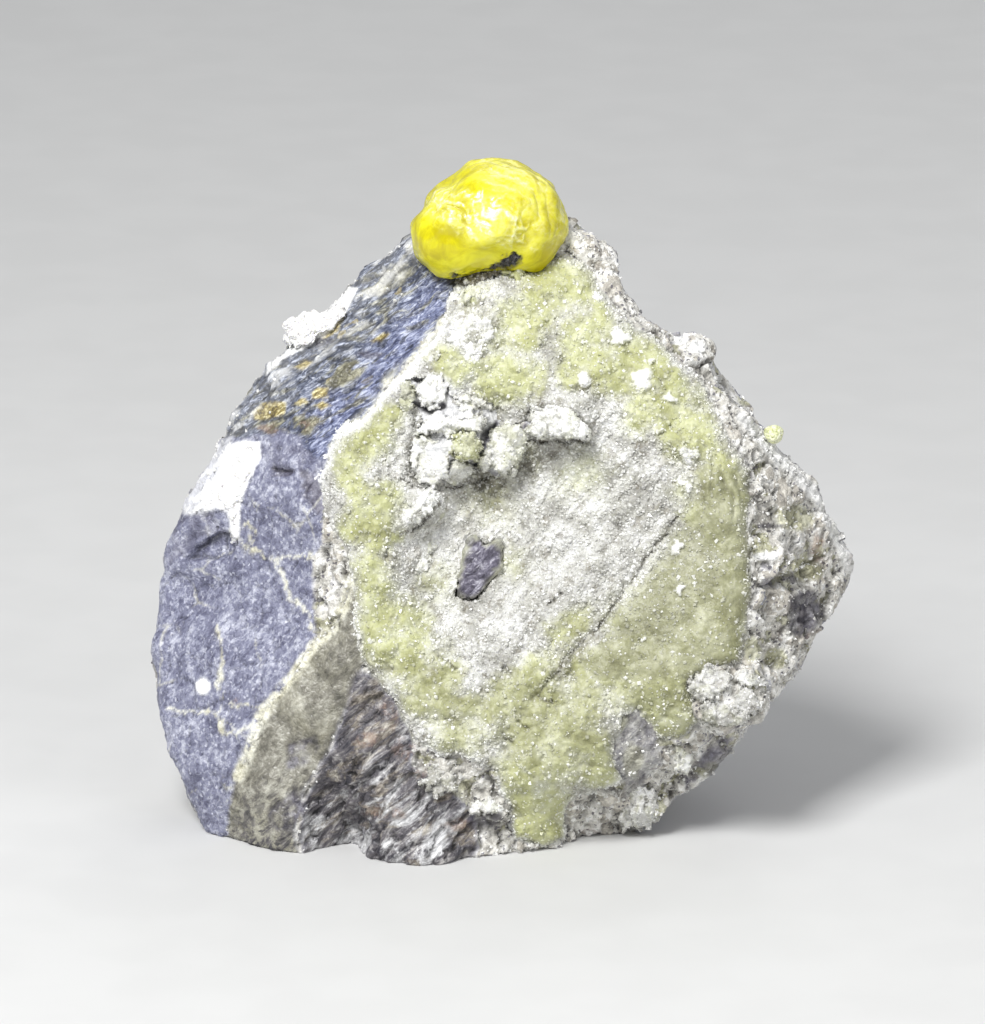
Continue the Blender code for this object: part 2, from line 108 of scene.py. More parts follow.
# An outline is a ring of (u, v) places whose last point joins its first; a line is open.
CRUST_OUTLINE: Outline = (
    (-3.4, 57.8), (-1.2, 58.2), (1.4, 58.6), (3.6, 59.4), (6.6, 60.4), (8.2, 59.8), (9.6, 58.0),
    (11.0, 55.4), (13.4, 53.2), (15.6, 51.8), (17.6, 50.0), (19.6, 48.2), (21.0, 45.8), (22.6, 42.6),
    (24.6, 39.0), (24.6, 35.0), (24.4, 31.0), (24.6, 28.0), (24.4, 24.0), (23.8, 20.2), (21.6, 19.8),
    (18.6, 18.6), (18.8, 17.0), (19.4, 14.6), (18.4, 13.0), (16.4, 12.4), (15.2, 13.4), (13.6, 15.6),
    (12.6, 15.2), (11.4, 12.6), (11.0, 10.6), (12.2, 8.4), (10.0, 7.6), (8.0, 7.4), (6.6, 5.6),
    (6.4, 2.6), (4.4, 2.0), (1.4, 2.6), (1.2, 5.6), (0.0, 7.6), (-0.2, 9.6), (-2.0, 10.0),
    (-3.4, 11.0), (-6.0, 11.4), (-8.4, 12.6), (-9.6, 14.4), (-10.6, 16.6), (-12.6, 18.8),
    (-13.8, 20.6), (-14.4, 24.0), (-14.6, 28.0), (-15.2, 31.6), (-16.8, 33.2), (-17.4, 36.0),
    (-17.8, 38.4), (-16.5, 41.0), (-16.0, 43.4), (-13.4, 44.4), (-11.8, 46.2), (-10.4, 48.2),
    (-8.6, 50.2), (-6.2, 52.6), (-5.2, 55.2), (-4.6, 57.2),
)
HOLLOW_OUTLINE: Outline = (
    (-9.8, 44), (-3, 46.0), (2.4, 45.8), (6.6, 46.4), (10.4, 45.4), (13.6, 43.0), (17.0, 39.4),
    (17.8, 35.0), (15.4, 31.6), (13.0, 28.2), (9.0, 22.6), (5.6, 20.6), (3.6, 22.4), (1.2, 23.4),
    (-3.6, 22.8), (-7.4, 24.4), (-8.9, 28.6), (-9.5, 33.2), (-10.6, 37.2), (-10.4, 41),
)
# The bare dark chip of rock in the hollow
CHIP_OUTLINE: Outline = (
    (-4.4, 26.8), (-3.9, 28.6), (-3.4, 30.6), (-2.9, 32.0), (-2.0, 32.3), (-1.5, 31.5), (-0.6, 32.1),
    (0.1, 31.4), (0.1, 29.8), (-0.8, 28.6), (-1.8, 27.2), (-2.6, 26.4), (-3.6, 26.5),
)
# The slick, fibrous upper flank
SLICK_OUTLINE: Outline = (
    (-9.0, 63.5), (-4.4, 58.4), (-5.6, 54.2), (-10.2, 48.6), (-13.6, 44.6), (-16.2, 42.6), (-16.2, 40.5),
    (-18.0, 40.3), (-19.2, 41.2), (-20.0, 42.6), (-22.2, 43.2), (-24.0, 42.5), (-27.6, 42.4), (-60, 44),
    (-60, 70), (-12, 70),
)
# The border that the violet flank, the olive band and the crest between them share
OLIVE_BORDER: Outline = ((-20.2, 19.2), (-22.5, 16.3), (-23.9, 14.6), (-24.8, 11.5), (-26, 8.8))
VIOLET_OUTLINE: Outline = (
    (-16.4, 42.2), (-17.4, 36), (-17.6, 31.6), (-18.6, 30.6), (-18.4, 25.6), (-18.2, 22.8),
    *OLIVE_BORDER, (-26.9, 5.5), (-27.6, -3), (-60, -6), (-60, 47), (-24.4, 43.1), (-22.2, 43.3),
    (-20.0, 42.7), (-18.2, 42.1),
)
OLIVE_OUTLINE: Outline = (
    (-14.6, 28.4), (-15.2, 26.1), (-16.4, 23.6), (-18.7, 21.5), *OLIVE_BORDER, (-26.9, 5.5),
    (-27.6, -3), (-19, -3), (-20.4, 3), (-19.5, 7.4), (-17.0, 11.4), (-14.8, 16.8), (-13.2, 20.4),
    (-12.6, 25),
)
SLATE_OUTLINE: Outline = (
    (-14.9, 17.4), (-14.2, 19.4), (-12.4, 18.8), (-10.2, 15.8), (-8.6, 12.6), (-8.8, 9.8),
    (-5.2, 7.6), (-2.8, 5.4), (-2.2, 2.4), (-4.6, -3), (-19, -3), (-19.8, 4), (-18.4, 8.2),
    (-16.4, 12.0),
)
LEDGE_OUTLINE: Outline = (
    (-10.4, 48.2), (-8.8, 48.9), (-5.0, 48.9), (-4.4, 46.9), (-0.4, 46.2), (0.6, 44.6), (3.2, 45.4),
    (4.8, 46.1), (7.6, 45.2), (9.2, 43.4), (8.6, 42.0), (3.2, 41.9), (2.8, 40.2), (1.8, 38.4),
    (-1.6, 38.6), (-5.0, 37.2), (-6.6, 36.6), (-9.4, 38.6), (-9.4, 41.4), (-9.0, 44.4),
)
# Painted shadow below the ledge blocks: the rock and the lining are darkened inside this outline
UNDERCUT_SHADOW: Outline = (
    (-5.4, 37.6), (-3.8, 38.2), (-2.0, 39.0), (0.6, 38.6), (2.5, 40.2), (3.0, 42.2), (5.0, 42.4),
    (8.6, 42.4), (7.8, 40.6), (4.4, 39.2), (2.4, 37.4), (-0.6, 36.4), (-4.2, 36.2),
)
# The cleft at the foot of the ball, painted near-black on the rock, the ball and one block: partly dark
# matter, partly painted shadow
CLEFT_OUTLINE: Outline = (
    (-5.4, 57.6), (-4.0, 57.2), (-2.0, 57.5), (-0.2, 58.0), (1.0, 58.8), (1.9, 60.0), (0.0, 60.2),
    (-5.2, 59.2),
)
# The shell-shaped hollow on the left flank
SHELL_HOLLOW: Outline = (
    (-31.2, 30.3), (-30.4, 31.6), (-29.2, 32.4), (-28, 32.9), (-26.8, 32.8), (-26.0, 32.1),
    (-26.6, 31.0), (-28.6, 30.2),
)
# Thin cream veins on the violet flank
CREAM_VEINS: tuple[Outline, ...] = (
    ((-26.9, 33.3), (-25.8, 31.7), (-24.9, 31.3), (-22.5, 30.2), (-20.6, 30.6), (-18.6, 30.7)),
    ((-22.4, 30.2), (-21.3, 28.0), (-20.9, 26.4), (-19.5, 25.7), (-18.4, 23.2)),
    ((-26.4, 33.5), (-25.2, 33.9), (-24.4, 33.0), (-24.8, 31.6)),
    ((-33.5, 15.2), (-30.2, 15.1), (-28.5, 15.0), (-27.3, 13.0), (-26.3, 12.8), (-24.6, 14.0)),
    ((-26.9, 15.9), (-25.4, 15.7), (-23.6, 15.8)),
    ((-28.3, 23.6), (-27.6, 21.0), (-28.0, 17.6)),
)
# Pale crests on the borders of the crust and of the olive band
CRESTS: tuple[Outline, ...] = (
    ((-5.6, 54.0), (-8.6, 50.6), (-10.3, 48.6), (-13.4, 44.6), (-16.5, 41.2), (-16.9, 38.4)),
    ((-14.7, 28.6), (-15.2, 26.1), (-16.4, 23.6), (-18.7, 21.5), *OLIVE_BORDER),
)
# The white vein patch
PATCH_SURROUND: Outline = (
    (-23.9, 41.9), (-25.4, 42.2), (-26.9, 41.8), (-28.0, 39.6), (-29.1, 37.4), (-30.0, 35.7),
    (-29.5, 34.9), (-28.4, 35.4), (-27.2, 35.0), (-26.7, 32.0), (-26.0, 32.6), (-25.9, 35.8), (-24.9, 38.2),
    (-23.8, 40.4),
)
# Greyer white between that patch and the rock's edge; it is painted, and has no sheet of its own.
PATCH_EDGE: Outline = (
    (-26.6, 42.6), (-27.9, 42.4), (-30.1, 39.8), (-31.9, 37.0), (-33.2, 34.8),
    (-29.4, 34.8), (-28.5, 37.4), (-27.4, 39.6),
)
# White around the foot of the vein knob
KNOB_SURROUND: Outline = (
    (-23.4, 48.6), (-21.2, 50.6), (-19.0, 51.6), (-17.2, 53.0), (-15.2, 55.2), (-14.2, 57.4),
    (-17.0, 58.0), (-23.0, 55.0),
)
# Dark places between the slick and the violet flank: a brown band, and a teal dip whose dark is painted
# shadow
BROWN_BAND: Outline = (
    (-24.0, 42.6), (-21.8, 42.0), (-19.0, 41.2), (-16.8, 40.8), (-17.4, 38.2), (-19.2, 38.4), (-20.4, 39.4),
    (-22.4, 39.2), (-23.6, 40.6),
)
TEAL_DIP_SHADOW: Outline = (
    (-19.9, 39.0), (-18.2, 39.2), (-17.3, 37.2), (-17.2, 35.2), (-18.0, 34.6), (-19.0, 36.2), (-20.0, 37.4),
)
# Grey fibrous rock below the crust, to the right
FIBRE_OUTLINE: Outline = (
    (9.8, 17.0), (11.4, 17.6), (12.8, 16.0), (14.4, 14.6), (15.6, 12.6), (15.8, 10.2), (14.2, 8.0),
    (12.4, 6.8), (11.8, 9.0), (10.8, 11.0), (10.8, 13.4),
)
# The dark brow over the shell-shaped hollow
SHELL_BROW: Outline = (
    (-34.0, 34.4), (-30.8, 34.8), (-28.2, 35.0), (-26.6, 32.8), (-28.2, 33.0), (-30.0, 32.4), (-31.4, 30.6),
    (-33.2, 29.6),
)
# Golden flakes on the upper flank
GOLD_FLAKES: tuple[Outline, ...] = (
    ((-24.8, 44.9), (-23.8, 45.9), (-22.4, 46.0), (-21.3, 45.9), (-21.4, 44.8), (-23.0, 44.3), (-24.4, 44.2)),
    ((-18.7, 46.8), (-18.2, 47.4), (-17.0, 47.3), (-17.2, 46.4), (-18.6, 46.2)),
    ((-18.3, 52.7), (-17.0, 54.0), (-15.8, 54.0), (-16.2, 53.0), (-17.6, 52.2)),
    ((-18.4, 45.6), (-17.6, 46.0), (-16.8, 45.6), (-17.8, 45.1)),
    ((-20.6, 49.4), (-19.4, 50.2), (-18.6, 49.9), (-19.6, 49.2)),
    ((-12.8, 52.0), (-11.6, 52.8), (-11.0, 52.7), (-11.8, 51.9)),
    ((-20.4, 45.8), (-19.6, 46.4), (-19.0, 46.0), (-19.8, 45.5)),
)
# Olive lenses on the upper flank
OLIVE_LENSES: tuple[Outline, ...] = (
    ((-18.2, 48.2), (-17.0, 49.9), (-14.8, 50.4), (-13.4, 49.5), (-14.2, 47.9), (-16.2, 47.0), (-17.6, 47.4)),
    ((-15.6, 52.6), (-13.4, 53.6), (-11.6, 54.0), (-12.8, 52.8), (-14.4, 52.0)),
    ((-14.0, 57.2), (-11.0, 59.6), (-8.6, 60.0), (-9.8, 58.0), (-12.0, 56.6)),
    ((-24.4, 43.8), (-20.6, 44.6), (-17.4, 44.2), (-18.6, 42.8), (-22.4, 42.6)),
)
# Lines that white frost follows: the upper left edge, and the right shoulder, whose white line is partly
# white stone and partly painted highlight along the edge
LEFT_EDGE: Outline = (
    (-34.4, 20), (-33.8, 27.2), (-32.5, 31.7), (-30.8, 35.7), (-28.5, 39.7), (-25.0, 46.4), (-21.5, 50.0),
    (-14.8, 56.6), (-9.4, 61.4),
)
RIGHT_CREST: Outline = ((24.0, 44.4), (26.6, 41.4), (29.3, 39.0), (32.3, 35.8), (34.2, 31.4), (34.9, 29.6))
# The crust's upper left border
CREST: Outline = (
    (-5.6, 54.6), (-6.8, 52.4), (-8.8, 50.0), (-10.8, 47.8), (-12.2, 45.8), (-13.6, 44.4), (-16.0, 43.2),
    (-16.8, 40.6), (-17.8, 38.2),
)
# The long diagonal crack, and the short slits, grooved and painted dark: partly stain, partly painted shadow.
# The slits along the lower edges of the ledge blocks are painted shadow lines.
DIAGONAL: Outline = ((17.6, 34.6), (15.4, 31.6), (13.4, 28.8), (9.4, 23.2), (6.4, 20.2), (3.4, 16.6))
SLITS_AND_SHADOW_LINES: tuple[Outline, ...] = (
    ((2.4, 42.3), (3.6, 42.0), (5.4, 42.1), (6.8, 41.9), (8.6, 42.1)),
    ((-5.6, 37.3), (-4.0, 37.5), (-2.4, 38.0)), ((-2.4, 38.0), (-0.6, 38.5), (0.6, 38.2)),
    ((-1.7, 39.8), (-1.6, 41.4), (-1.2, 42.6), (-0.4, 43.8)), ((-8.2, 45.5), (-7.0, 45.1), (-5.6, 45.6)),
    ((-9.6, 38.2), (-8.2, 37.4), (-6.2, 37.0)), ((-6.0, 36.0), (-7.2, 34.3), (-8.6, 33.4), (-10.0, 32.7)),
    ((2.9, 45.6), (2.6, 44.0), (2.2, 42.6)), ((3.4, 16.8), (5.0, 16.2)),
    ((-22.5, 39.3), (-21.6, 39.1), (-20.8, 39.0)), ((1.6, 14.6), (2.9, 13.6)), ((0.2, 13.0), (1.2, 12.4)),
    ((-5.8, 20.8), (-4.4, 19.6)), ((5.0, 25.8), (6.0, 27.1)), ((-11.5, 30.2), (-11.0, 31.4)),
)
# (u, v, half width, half height) of white blebs on the crust
BLEBS: Ovals = (
    (14.0, 48.0, 1.25, 1.05), (8.3, 48.0, 0.65, 0.7), (11.7, 52.5, 1.0, 0.65),
    (16.8, 46.4, 0.6, 0.45), (18.8, 40.7, 0.85, 0.75), (18.4, 37.7, 0.5, 0.45),
    (17.5, 31.6, 0.5, 0.75), (14.9, 50.2, 0.4, 0.4), (-2.6, 50.6, 0.8, 0.6),
    (9.6, 56.4, 0.35, 0.3), (17.7, 27.4, 0.35, 0.3), (14.0, 22.6, 0.35, 0.3),
)
# (u, v, reach) of the yellower patches of the crust
YELLOW_PATCHES: Rounds = (
    (-10.9, 44.6, 1.3), (-12.2, 42.4, 1.6), (-14.2, 41.0, 1.7), (-15.1, 38.8, 1.2), (-14.2, 37.2, 1.0),
    (-11.8, 35.6, 1.8), (-13.4, 34.2, 1.8), (-14.6, 33.0, 1.1), (-10.6, 36.8, 1.0), (-12.2, 32.6, 1.2),
    (-12.8, 29.6, 1.6), (-12.3, 27.0, 1.8), (-11.9, 24.6, 1.8), (-11.4, 21.8, 2.1), (-10.0, 20.8, 1.6),
    (-9.0, 25.2, 1.3), (-8.6, 22.6, 1.5), (-7.4, 24.6, 0.9), (-10.2, 32.8, 0.8), (-7.6, 17.0, 2.0),
    (-5.8, 16.4, 1.5), (-5.0, 19.2, 1.3), (-4.5, 12.7, 1.7), (-8.4, 19.8, 1.2), (-3.2, 16.0, 1.0),
    (-1.4, 15.4, 1.4), (0.9, 17.0, 1.8), (3.4, 17.8, 2.0), (3.6, 19.6, 1.3), (5.0, 16.6, 1.3),
    (5.9, 22.8, 1.3), (7.6, 24.2, 1.4), (2.6, 12.6, 2.1), (4.2, 14.6, 1.9), (6.6, 13.0, 2.1),
    (8.4, 15.8, 1.7), (8.6, 19.2, 2.1), (10.6, 20.0, 1.6), (9.2, 11.6, 1.8), (1.2, 9.4, 1.6),
    (6.0, 9.8, 1.8), (9.9, 9.2, 1.9), (2.2, 6.6, 1.8), (5.0, 6.4, 1.5), (4.4, 3.2, 2.7), (2.2, 3.6, 1.3),
    (3.4, 10.0, 1.4), (13.4, 17.8, 2.3), (16.4, 17.6, 2.2), (18.4, 17.0, 1.6), (15.2, 15.6, 1.6),
    (18.4, 14.6, 1.5), (16.4, 13.2, 1.3), (17.0, 20.2, 2.5), (12.8, 21.2, 2.2), (19.6, 22.2, 2.5),
    (22.2, 22.6, 2.3), (22.9, 26.2, 2.3), (23.2, 29.0, 1.5), (20.4, 26.0, 1.8), (21.6, 33.0, 2.2),
    (22.6, 36.4, 2.4), (21.2, 38.4, 1.4), (19.0, 34.6, 1.2), (18.2, 42.6, 2.1), (20.6, 42.0, 1.4),
    (16.6, 44.4, 1.4), (14.6, 45.6, 1.7), (12.6, 48.6, 1.8), (15.8, 48.4, 1.3), (10.4, 48.8, 1.8),
    (8.2, 50.8, 2.0), (7.8, 52.8, 1.5), (10.0, 53.6, 1.3), (9.8, 55.2, 0.9), (12.4, 51.2, 1.7),
    (15.2, 50.6, 1.3), (6.8, 48.4, 1.2), (3.2, 48.6, 1.3), (1.6, 47.4, 1.6), (-0.6, 46.8, 1.5),
    (0.2, 49.0, 1.7), (-1.4, 48.2, 1.4), (-4.2, 48.4, 0.9), (-5.4, 50.0, 1.3), (-3.2, 49.4, 0.9),
    (2.6, 53.6, 2.0), (1.0, 54.2, 1.3), (4.4, 55.2, 1.3), (2.6, 51.9, 1.1), (6.2, 57.8, 2.2),
    (4.2, 58.6, 1.6), (8.0, 57.2, 1.4), (3.4, 56.6, 1.1), (-3.0, 56.0, 0.8), (17.4, 46.8, 1.4),
    (19.6, 44.0, 1.4), (14.2, 50.0, 1.3), (21.8, 39.8, 1.3), (13.4, 44.0, 1.3), (17.0, 48.4, 1.1),
)
# (u, v, reach) of fainter olive tints
OLIVE_TINTS: Rounds = (
    (17.0, 24.6, 2.8), (14.6, 25.4, 2.4), (17.6, 28.8, 2.6), (20.2, 30.0, 2.2), (18.4, 31.6, 1.6),
    (18.2, 37.0, 1.4), (-1.0, 36.8, 2.6), (3.0, 40.6, 1.2), (8.0, 39.0, 2.4), (-7.0, 20.0, 2.6),
    (1.2, 14.6, 2.6), (-6.4, 28.0, 2.0), (12.0, 24.0, 2.0), (1.0, 30.0, 1.6), (-3.0, 13.6, 2.4),
    (11.0, 16.6, 2.4), (5.8, 20.0, 2.2), (0.0, 51.6, 2.4), (14.0, 51.6, 2.6), (19.4, 46.0, 2.0),
)
# (u, v, half width, half height) of white spots on the rock and the ledge
WHITE_SPOTS: Ovals = (
    (-29.6, 17.6, 0.75, 0.8), (-9.0, 33.6, 1.3, 1.2), (26.2, 30.6, 1.3, 0.45),
    (17.9, 52.2, 0.8, 0.6), (19.6, 51.4, 0.8, 0.7),
)
# (u, v, half width, half height) of ochre and red-brown stains on the rock
STAINS: Ovals = (
    (-26.2, 16.2, 0.55, 0.35), (-11.2, 14.6, 1.0, 1.8), (-9.4, 11.6, 1.2, 1.0),
    (35.2, 30.0, 0.6, 0.8), (-11.4, 5.4, 2.2, 0.7), (31.4, 22.6, 0.8, 0.6), (-23.0, 43.4, 1.0, 0.5),
    (-13.2, 12.6, 1.2, 0.6), (27.8, 22.8, 0.9, 0.5), (-2.7, 36.2, 0.5, 1.6), (-19.2, 43.6, 0.9, 0.4),
    (31.8, 31.4, 0.9, 1.6), (-7.9, 9.3, 0.9, 0.6), (-4.0, 4.2, 1.4, 0.5), (9.0, 2.8, 1.2, 0.5),
)
# The same for dark spots, then for olive ones. Several thin dark spots are painted shadow lines below blocks,
# lumps and the knob.
DARK_SPOTS_AND_SHADOWS: Ovals = (
    (30.2, 24.9, 1.7, 2.0), (22.0, 10.2, 2.0, 1.8), (5.4, 26.3, 0.6, 0.6), (-11.2, 30.7, 0.5, 0.5),
    (26.9, 33.6, 1.6, 0.3), (-21.6, 38.9, 1.2, 0.3), (33.0, 17.4, 1.8, 1.2),
    (28.8, 28.4, 0.7, 0.5), (-17.8, 52.0, 1.1, 0.35), (-13.0, 50.6, 1.4, 0.3), (26.4, 28.0, 0.5, 0.4),
)
OLIVE_SPOTS: Ovals = (
    (29.3, 34.4, 1.9, 1.2), (25.8, 31.2, 1.0, 1.2), (30.6, 29.4, 1.6, 1.2), (27.4, 20.6, 1.2, 1.0),
    (25.0, 21.4, 0.9, 1.2), (24.6, 46.2, 1.0, 0.7), (20.4, 9.6, 1.2, 0.8), (13.2, 10.4, 0.9, 1.6),
)
# Dark crystals and streaks; the small notch at about u 25 to 27, v 29 to 30.5 is painted shadow below a
# flake.
DARK_CRYSTALS_AND_SHADE: tuple[Outline, ...] = (
    ((28.7, 26.2), (29.7, 27.0), (31.2, 27.2), (32.0, 26.2), (31.9, 24.4), (31.2, 23.2), (30.0, 22.6),
     (28.8, 22.8), (28.4, 23.8), (29.5, 24.7), (29.0, 25.4)),
    ((25.2, 30.5), (26.6, 30.1), (27.0, 29.1), (25.6, 29.5)),
    ((22.0, 42.4), (23.7, 41.2), (24.8, 39.2), (25.1, 38.0), (23.9, 38.5), (22.7, 40.6)),
    ((32.6, 19.4), (33.6, 20.4), (33.4, 18.4), (31.4, 16.4), (30.8, 17.6)),
    ((-3.4, 5.0), (-2.2, 5.2), (0.0, 5.4), (0.5, 4.6), (-0.4, 3.7), (-2.0, 3.3), (-3.2, 4.0)),
    ((-20.9, 12.0), (-18.2, 13.0), (-17.8, 11.8), (-19.5, 9.8), (-21.3, 9.4)),
    ((-14.4, 23.7), (-13.2, 24.4), (-13.1, 21.8), (-14.0, 21.2)),
    ((-22.9, 5.6), (-20.2, 7.6), (-18.6, 6.8), (-20.7, 3.6), (-23.0, 3.2)),
)
# The dark streak beside the diagonal crack, and the bare band at the crack's foot
STREAK: Outline = ((12.2, 34.5), (11.2, 32.6), (10.0, 30.6), (8.5, 27.8))
CRACK_FOOT: Outline = ((9.4, 22.6), (7.8, 21.0), (6.4, 19.8), (4.6, 17.8))
# The dark strip on the lower rim
NAVY_STRIP: Outline = (
    (18.6, 7.2), (21.2, 10.4), (24.2, 13.4), (25.6, 15.0), (23.6, 14.2), (21.0, 11.8), (18.2, 8.8),
)
# The smooth, ribbed right part of the crust
RIBS_OUTLINE: Outline = (
    (19.8, 40.2), (24.8, 38.4), (24.8, 25), (22.8, 20.2), (18.4, 18.6), (14.0, 17.8), (9.0, 18.6),
    (7.8, 20.6), (11.0, 23.8), (14.4, 28.6), (16.8, 32.0), (18.8, 34.8),
)


@dataclass(frozen=True)
class Block:
    """One broken block on the face: its outline, how far it stands out, its tint and its lean."""

    outline: Outline
    rise: float
    yellow: float = 0.0
    pale: float = 0.0
    dark: float = 0.0
    lean: float = 0.12


BLOCKS: tuple[Block, ...] = (
    Block(((-10.1, 47.2), (-9.4, 48.1), (-8.7, 47.6), (-8.35, 46.4), (-8.6, 45.3), (-9.4, 44.9),
           (-10.1, 45.6)), 0.5, 0.5, 0.5),
    Block(((-8.1, 46.6), (-8.0, 47.9), (-7.0, 48.7), (-5.8, 48.5), (-5.1, 47.4), (-5.4, 46.2), (-6.2, 45.4),
           (-7.3, 45.5), (-7.8, 46.0)), 0.9, 0.0, 1.0),
    Block(((-5.0, 46.2), (-4.2, 46.9), (-3.2, 46.5), (-2.2, 46.4), (-0.7, 45.7), (-2.2, 44.9), (-4.2, 45.0)),
          0.3, 0.15, 0.4),
    Block(((-8.1, 43.6), (-6.4, 44.7), (-4.6, 44.6), (-3.0, 45.0), (-1.6, 44.6), (-1.5, 43.4), (-2.4, 42.7),
           (-4.2, 42.8), (-5.0, 42.1), (-6.6, 42.6), (-8.2, 42.7)), 0.6, 0.0, 0.9),
    Block(((-4.6, 42.6), (-3.6, 43.1), (-2.4, 42.7), (-1.9, 41.6), (-2.2, 40.4), (-3.6, 39.9), (-4.6, 40.6),
           (-4.9, 41.6)), 0.8, 0.75, 0.3),
    Block(((-8.9, 41.0), (-8.3, 42.5), (-6.8, 42.5), (-5.1, 41.9), (-4.8, 40.4), (-5.1, 38.4), (-6.6, 37.4),
           (-8.0, 38.0), (-8.9, 39.4)), 0.5, 0.0, 0.6, 0.0, 0.2),
    Block(((-5.0, 40.0), (-3.4, 40.0), (-2.4, 39.5), (-3.0, 38.2), (-4.6, 37.8), (-5.2, 38.2)),
          0.3, 0.1, 0.4),
    Block(((-1.0, 42.6), (-0.6, 43.4), (0.4, 44.0), (2.1, 43.7), (2.7, 42.4), (2.2, 40.8), (1.4, 39.0),
           (0.2, 38.6), (-0.7, 39.6), (-1.6, 39.1), (-2.0, 39.8), (-1.2, 41.4)), 0.8, 0.25, 0.7, 0.0, 0.22),
    Block(((2.6, 42.9), (3.0, 44.6), (4.4, 45.8), (6.2, 45.5), (7.6, 44.6), (8.5, 43.3), (8.7, 42.5),
           (7.6, 42.2), (6.0, 42.5), (4.4, 42.3), (3.4, 42.6)), 1.2, 0.1, 0.62, 0.0, 0.45),
    Block(((-10.3, 33.6), (-9.6, 35.3), (-7.8, 36.9), (-6.2, 37.3), (-5.9, 36.1), (-7.2, 34.6), (-8.6, 33.8),
           (-9.6, 33.0)), 0.8, 0.0, 0.8),
    Block(((-5.6, 52.2), (-4.6, 54.2), (-2.4, 54.7), (-0.6, 54.2), (-0.6, 52.6), (-1.6, 51.2), (-2.6, 49.9),
           (-3.8, 50.4), (-4.4, 51.6)), 1.3, 0.05, 0.75),
    Block(((-4.0, 56.2), (-3.0, 57.6), (-1.4, 57.3), (-1.2, 56.0), (-2.8, 55.4)), 1.3, 0.5, 0.4),
    Block(((-8.0, 50.0), (-6.8, 51.4), (-5.8, 50.8), (-6.6, 49.4)), 1.3, 0.2, 0.7),
    Block(((-8.2, 32.0), (-7.4, 33.0), (-6.4, 32.8), (-6.0, 31.6), (-6.8, 30.8), (-7.8, 31.0)),
          0.9, 0.2, 0.2),
    Block(((-8.6, 30.4), (-7.6, 30.9), (-6.8, 30.2), (-7.0, 28.8), (-8.2, 28.7)), 0.9, 0.2, 0.5),
    Block(((18.6, 17.4), (19.2, 19.0), (20.8, 20.0), (22.6, 19.6), (23.0, 18.0), (21.4, 17.0), (20.6, 16.2),
           (19.6, 16.6)), 1.2, 0.0, 0.05, 0.14),
    Block(((20.0, 15.8), (21.2, 16.8), (23.2, 17.6), (25.2, 17.6), (25.8, 15.8), (24.2, 14.4), (21.8, 13.7),
           (20.2, 14.0), (19.6, 15.0)), 1.0, 0.0, 0.0, 0.16),
    Block(((23.2, 18.2), (23.8, 19.6), (25.4, 19.2), (26.2, 17.9), (25.0, 17.8)), 0.7, 0.0, 0.3),
    Block(((16.8, 10.2), (17.4, 11.6), (18.6, 11.8), (19.4, 10.6), (18.6, 9.2), (17.2, 9.2)), 0.7, 0.2, 0.6),
    Block(((-8.0, 8.6), (-6.8, 10.2), (-5.0, 10.0), (-4.2, 8.8), (-4.6, 7.4), (-6.6, 6.8), (-7.8, 7.4)),
          0.5, 0.05, 0.0, 0.4),
    Block(((-3.2, 5.6), (-2.4, 6.4), (-1.0, 6.8), (0.2, 6.2), (0.4, 5.4), (-1.6, 5.0)),
          0.9, 0.0, 0.5, 0.0, 0.4),
    # This block sits in the cleft at the ball's foot and is painted fully dark: partly dark matter, partly
    # painted shadow
    Block(((-4.8, 57.5), (-3.4, 57.3), (-1.6, 57.7), (-0.4, 58.3), (0.6, 59.2), (-0.8, 59.4),
           (-2.6, 58.9), (-4.6, 58.4)), 0.7, 0.0, 0.0, 1.0),
    Block(((-0.2, 58.0), (0.4, 58.9), (1.6, 59.5), (2.6, 58.9), (2.0, 57.8), (0.8, 57.3)), 0.9, 1.0, 0.1),
    Block(((12.2, 3.4), (12.0, 6.4), (13.4, 8.2), (15.4, 7.6), (16.0, 5.4), (14.6, 3.6)), 0.4, 0.0, 0.25),
)


# ---- numbers on points ----

# How far one step of a seed moves the noise and the grains, and the number that scrambles a grain's place
NOISE_STEP = 7.31
GRAIN_STEP = 5.17
SCRAMBLE = 43758.5453


def srgb(colour: Colour) -> tuple[float, float, float, float]:
    """Turns a display colour into the linear colour that a shader takes.

    Args:
        colour: Red, green and blue from 0 to 255.

    Returns:
        Linear red, green, blue and an alpha of 1.
    """
    shares = [c / 255 for c in colour]
    linear = [s / 12.92 if s <= 0.04045 else ((s + 0.055) / 1.055) ** 2.4 for s in shares]
    return (*linear, 1.0)


def smooth_step(values: Array, low: float, high: float) -> Array:
    """Rises smoothly from 0 at low to 1 at high, which may be the smaller of the two."""
    share = ((values - low) / (high - low)).clip(0, 1)
    return share * share * (3 - 2 * share)


def fractal(points: Array, size: float, octaves: int = 4, seed: float = 0.0) -> Array:
    """Samples noise of about -1 to 1, with waves of that size and finer ones, moved by the seed."""
    places = (points / size + seed * NOISE_STEP).tolist()
    return np.array([noise.fractal(p, 1.0, 2.0, octaves) for p in places])


def cells(points: Array, size: float, seed: float = 0.0) -> tuple[Array, Array, Array]:
    """Sorts points into random grains.

    Args:
        points: An n x 3 array in millimetres.
        size: Mean spacing of the grains, in millimetres.
        seed: Moves the pattern.

    Returns:
        Distance to the nearest grain centre, how far inside its grain each point is, and one random
        value for each grain, the lengths in grain sizes.
    """
    found = [noise.voronoi(p) for p in (points / size + seed * GRAIN_STEP).tolist()]
    near = np.array([f[0][0] for f in found])
    inner = np.array([f[0][1] for f in found]) - near
    centres = np.array([tuple(f[1][0]) for f in found])
    value = np.modf(np.abs(np.sin(centres @ np.array([12.9898, 78.233, 37.719])) * SCRAMBLE))[0]
    return near, inner, value


